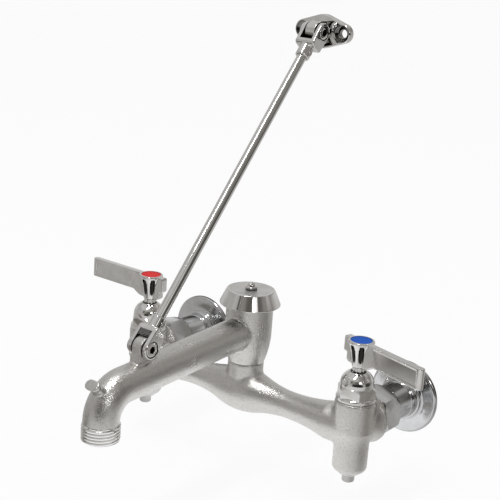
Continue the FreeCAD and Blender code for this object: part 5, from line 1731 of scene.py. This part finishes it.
    def bands(self, sheet: Sheet, share: Socket, stops: tuple) -> Socket:
        """Greys by the angle round the faucet, warmer as they darken.

        Args:
            sheet: the sheet for the nodes.
            share: how far round a place lies, as a share of a turn.
            stops: the bands, each an angle and a grey.

        Returns:
            The colour.
        """
        node = sheet.add("ShaderNodeValToRGB", {"Fac": share})
        elements = node.color_ramp.elements
        elements.remove(elements[-1])
        for number, (degrees, grey) in enumerate(stops):
            position = (degrees + 180) / 360
            stop = elements[0] if number == 0 else elements.new(position)
            stop.position = position
            warm = min(1.0, grey / 0.6)
            stop.color = (grey, grey * (0.93 + 0.06 * warm), grey * (0.82 + 0.16 * warm), 1)
        return node.outputs["Color"]

    def turn_share(self, sheet: Sheet, up: Socket, across: Socket) -> Socket:
        """How far round a place lies, as a share of a turn."""
        return sheet.ramp(sheet.number("ARCTAN2", up, across), -math.pi, math.pi, 0.0, 1.0)

    def round_share(self, sheet: Sheet, place: Socket) -> tuple[Socket, Socket]:
        """How far round and how high a place lies.

        Args:
            sheet: the sheet for the nodes.
            place: the place, from the middle.

        Returns:
            The share of a turn, and the height as a sine.
        """
        inward = sheet.add("ShaderNodeVectorMath", {0: place}, operation="NORMALIZE")
        x, y, z = sheet.add("ShaderNodeSeparateXYZ", {0: inward.outputs[0]}).outputs
        return self.turn_share(sheet, y, x), z

    def tent_colour(self, sheet: Sheet, place: Socket) -> tuple:
        """Dark room, cloth and flags round the faucet, with a pale backdrop behind.

        Args:
            sheet: the sheet for the nodes.
            place: the place on the tent, from its middle.

        Returns:
            The colour and the cover.
        """
        share, height = self.round_share(sheet, place)
        low = self.bands(sheet, share, self.horizon_bands)
        raised = self.bands(sheet, share, self.raised_bands)
        tint = sheet.mixed(sheet.ramp(height, 0.24, 0.36, 0.0, 1.0), low, raised)
        above = self.bands(sheet, share, self.ceiling_bands)
        tint = sheet.mixed(sheet.ramp(height, 0.57, 0.70, 0.0, 1.0), tint, above)
        return tint, 1.0

    def wall_colour(self, sheet: Sheet, place: Socket) -> tuple:
        """The dim wall just round each inlet, which the nuts' skirts reflect as stripes.

        Args:
            sheet: the sheet for the nodes.
            place: the place on the wall, from midway between the inlets.

        Returns:
            The colour and the cover.
        """
        across, up, _ = sheet.add("ShaderNodeSeparateXYZ", {0: place}).outputs
        offset = sheet.number("MULTIPLY", sheet.number("SIGN", across), VALVE_PLACE * MM)
        from_inlet = sheet.number("SUBTRACT", across, offset)
        share = self.turn_share(sheet, up, from_inlet)
        squares = [sheet.number("POWER", part, 2.0) for part in (from_inlet, up)]
        reach = sheet.number("SQRT", sheet.number("ADD", *squares))
        cover = sheet.ramp(reach, self.wall_reach, self.wall_fade, 1.0, 0.0)
        return self.bands(sheet, share, self.wall_bands), cover

    def table_colour(self, sheet: Sheet, place: Socket) -> tuple:
        """The table round the white sweep, which starts a little way out.

        Args:
            sheet: the sheet for the nodes.
            place: the place on the table, from its middle.

        Returns:
            The colour and the cover.
        """
        share, _ = self.round_share(sheet, place)
        reach = sheet.add("ShaderNodeVectorMath", {0: place}, operation="LENGTH").outputs["Value"]
        cover = sheet.ramp(reach, self.sweep_start, self.sweep_end, 0.0, 1.0)
        return self.bands(sheet, share, self.table_bands), cover

    def surround(self) -> None:
        """The tent, the table and the wall, which only reflections see."""
        facing = math.atan2(self.camera_place[1] - self.target[1], self.camera_place[0] - self.target[0])
        start_clean()
        bpy.ops.mesh.primitive_uv_sphere_add(
            segments=48, ring_count=24, radius=self.tent_radius, location=self.heart, rotation=(0, 0, facing))
        self.staged("reflection_tent", self.reflection_only("tent_cloth", self.tent_colour))
        start_clean()
        bpy.ops.mesh.primitive_plane_add(
            size=6, location=(0, -0.1, self.floor_height + 0.002), rotation=(0, 0, facing))
        self.staged("reflection_table", self.reflection_only("table_cloth", self.table_colour))
        start_clean()
        bpy.ops.mesh.primitive_plane_add(size=0.5, location=(0, 0.002, 0), rotation=(math.radians(90), 0, 0))
        self.staged("reflection_wall", self.reflection_only("wall_paint", self.wall_colour))

    def build(self) -> None:
        """Set up the whole studio."""
        self.camera()
        self.world()
        self.floor()
        self.surround()
        self.lamp("overhead", (0.0, -0.50, 1.35), 0.13, 0.80, 5.6)
        self.lamp("side_strip", (1.18, -0.95, 0.85), 0.24, 0.24, 1.6)
        bpy.context.scene.view_settings.view_transform = "Standard"


def main() -> None:
    """Dress the frame, build every sub-assembly and set up the studio."""
    logging.basicConfig(level=logging.INFO, format="%(name)s: %(message)s")
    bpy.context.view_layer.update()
    finishes = Finishes()
    finishes.dress_frame()
    parts = [
        Yoke(finishes), Spout(finishes), VacuumBreaker(finishes),
        Valve(finishes, "hot", -VALVE_PLACE, 11.0), Valve(finishes, "cold", VALVE_PLACE, 44.0),
        Lever(finishes, "hot", -VALVE_PLACE, 180.0), Lever(finishes, "cold", VALVE_PLACE, -15.4),
        Brace(finishes)]
    for part in parts:
        part.build()
        log.info("%s is done", type(part).__name__)
    Studio().build()
    start_clean()


if __name__ == "__main__":
    main()
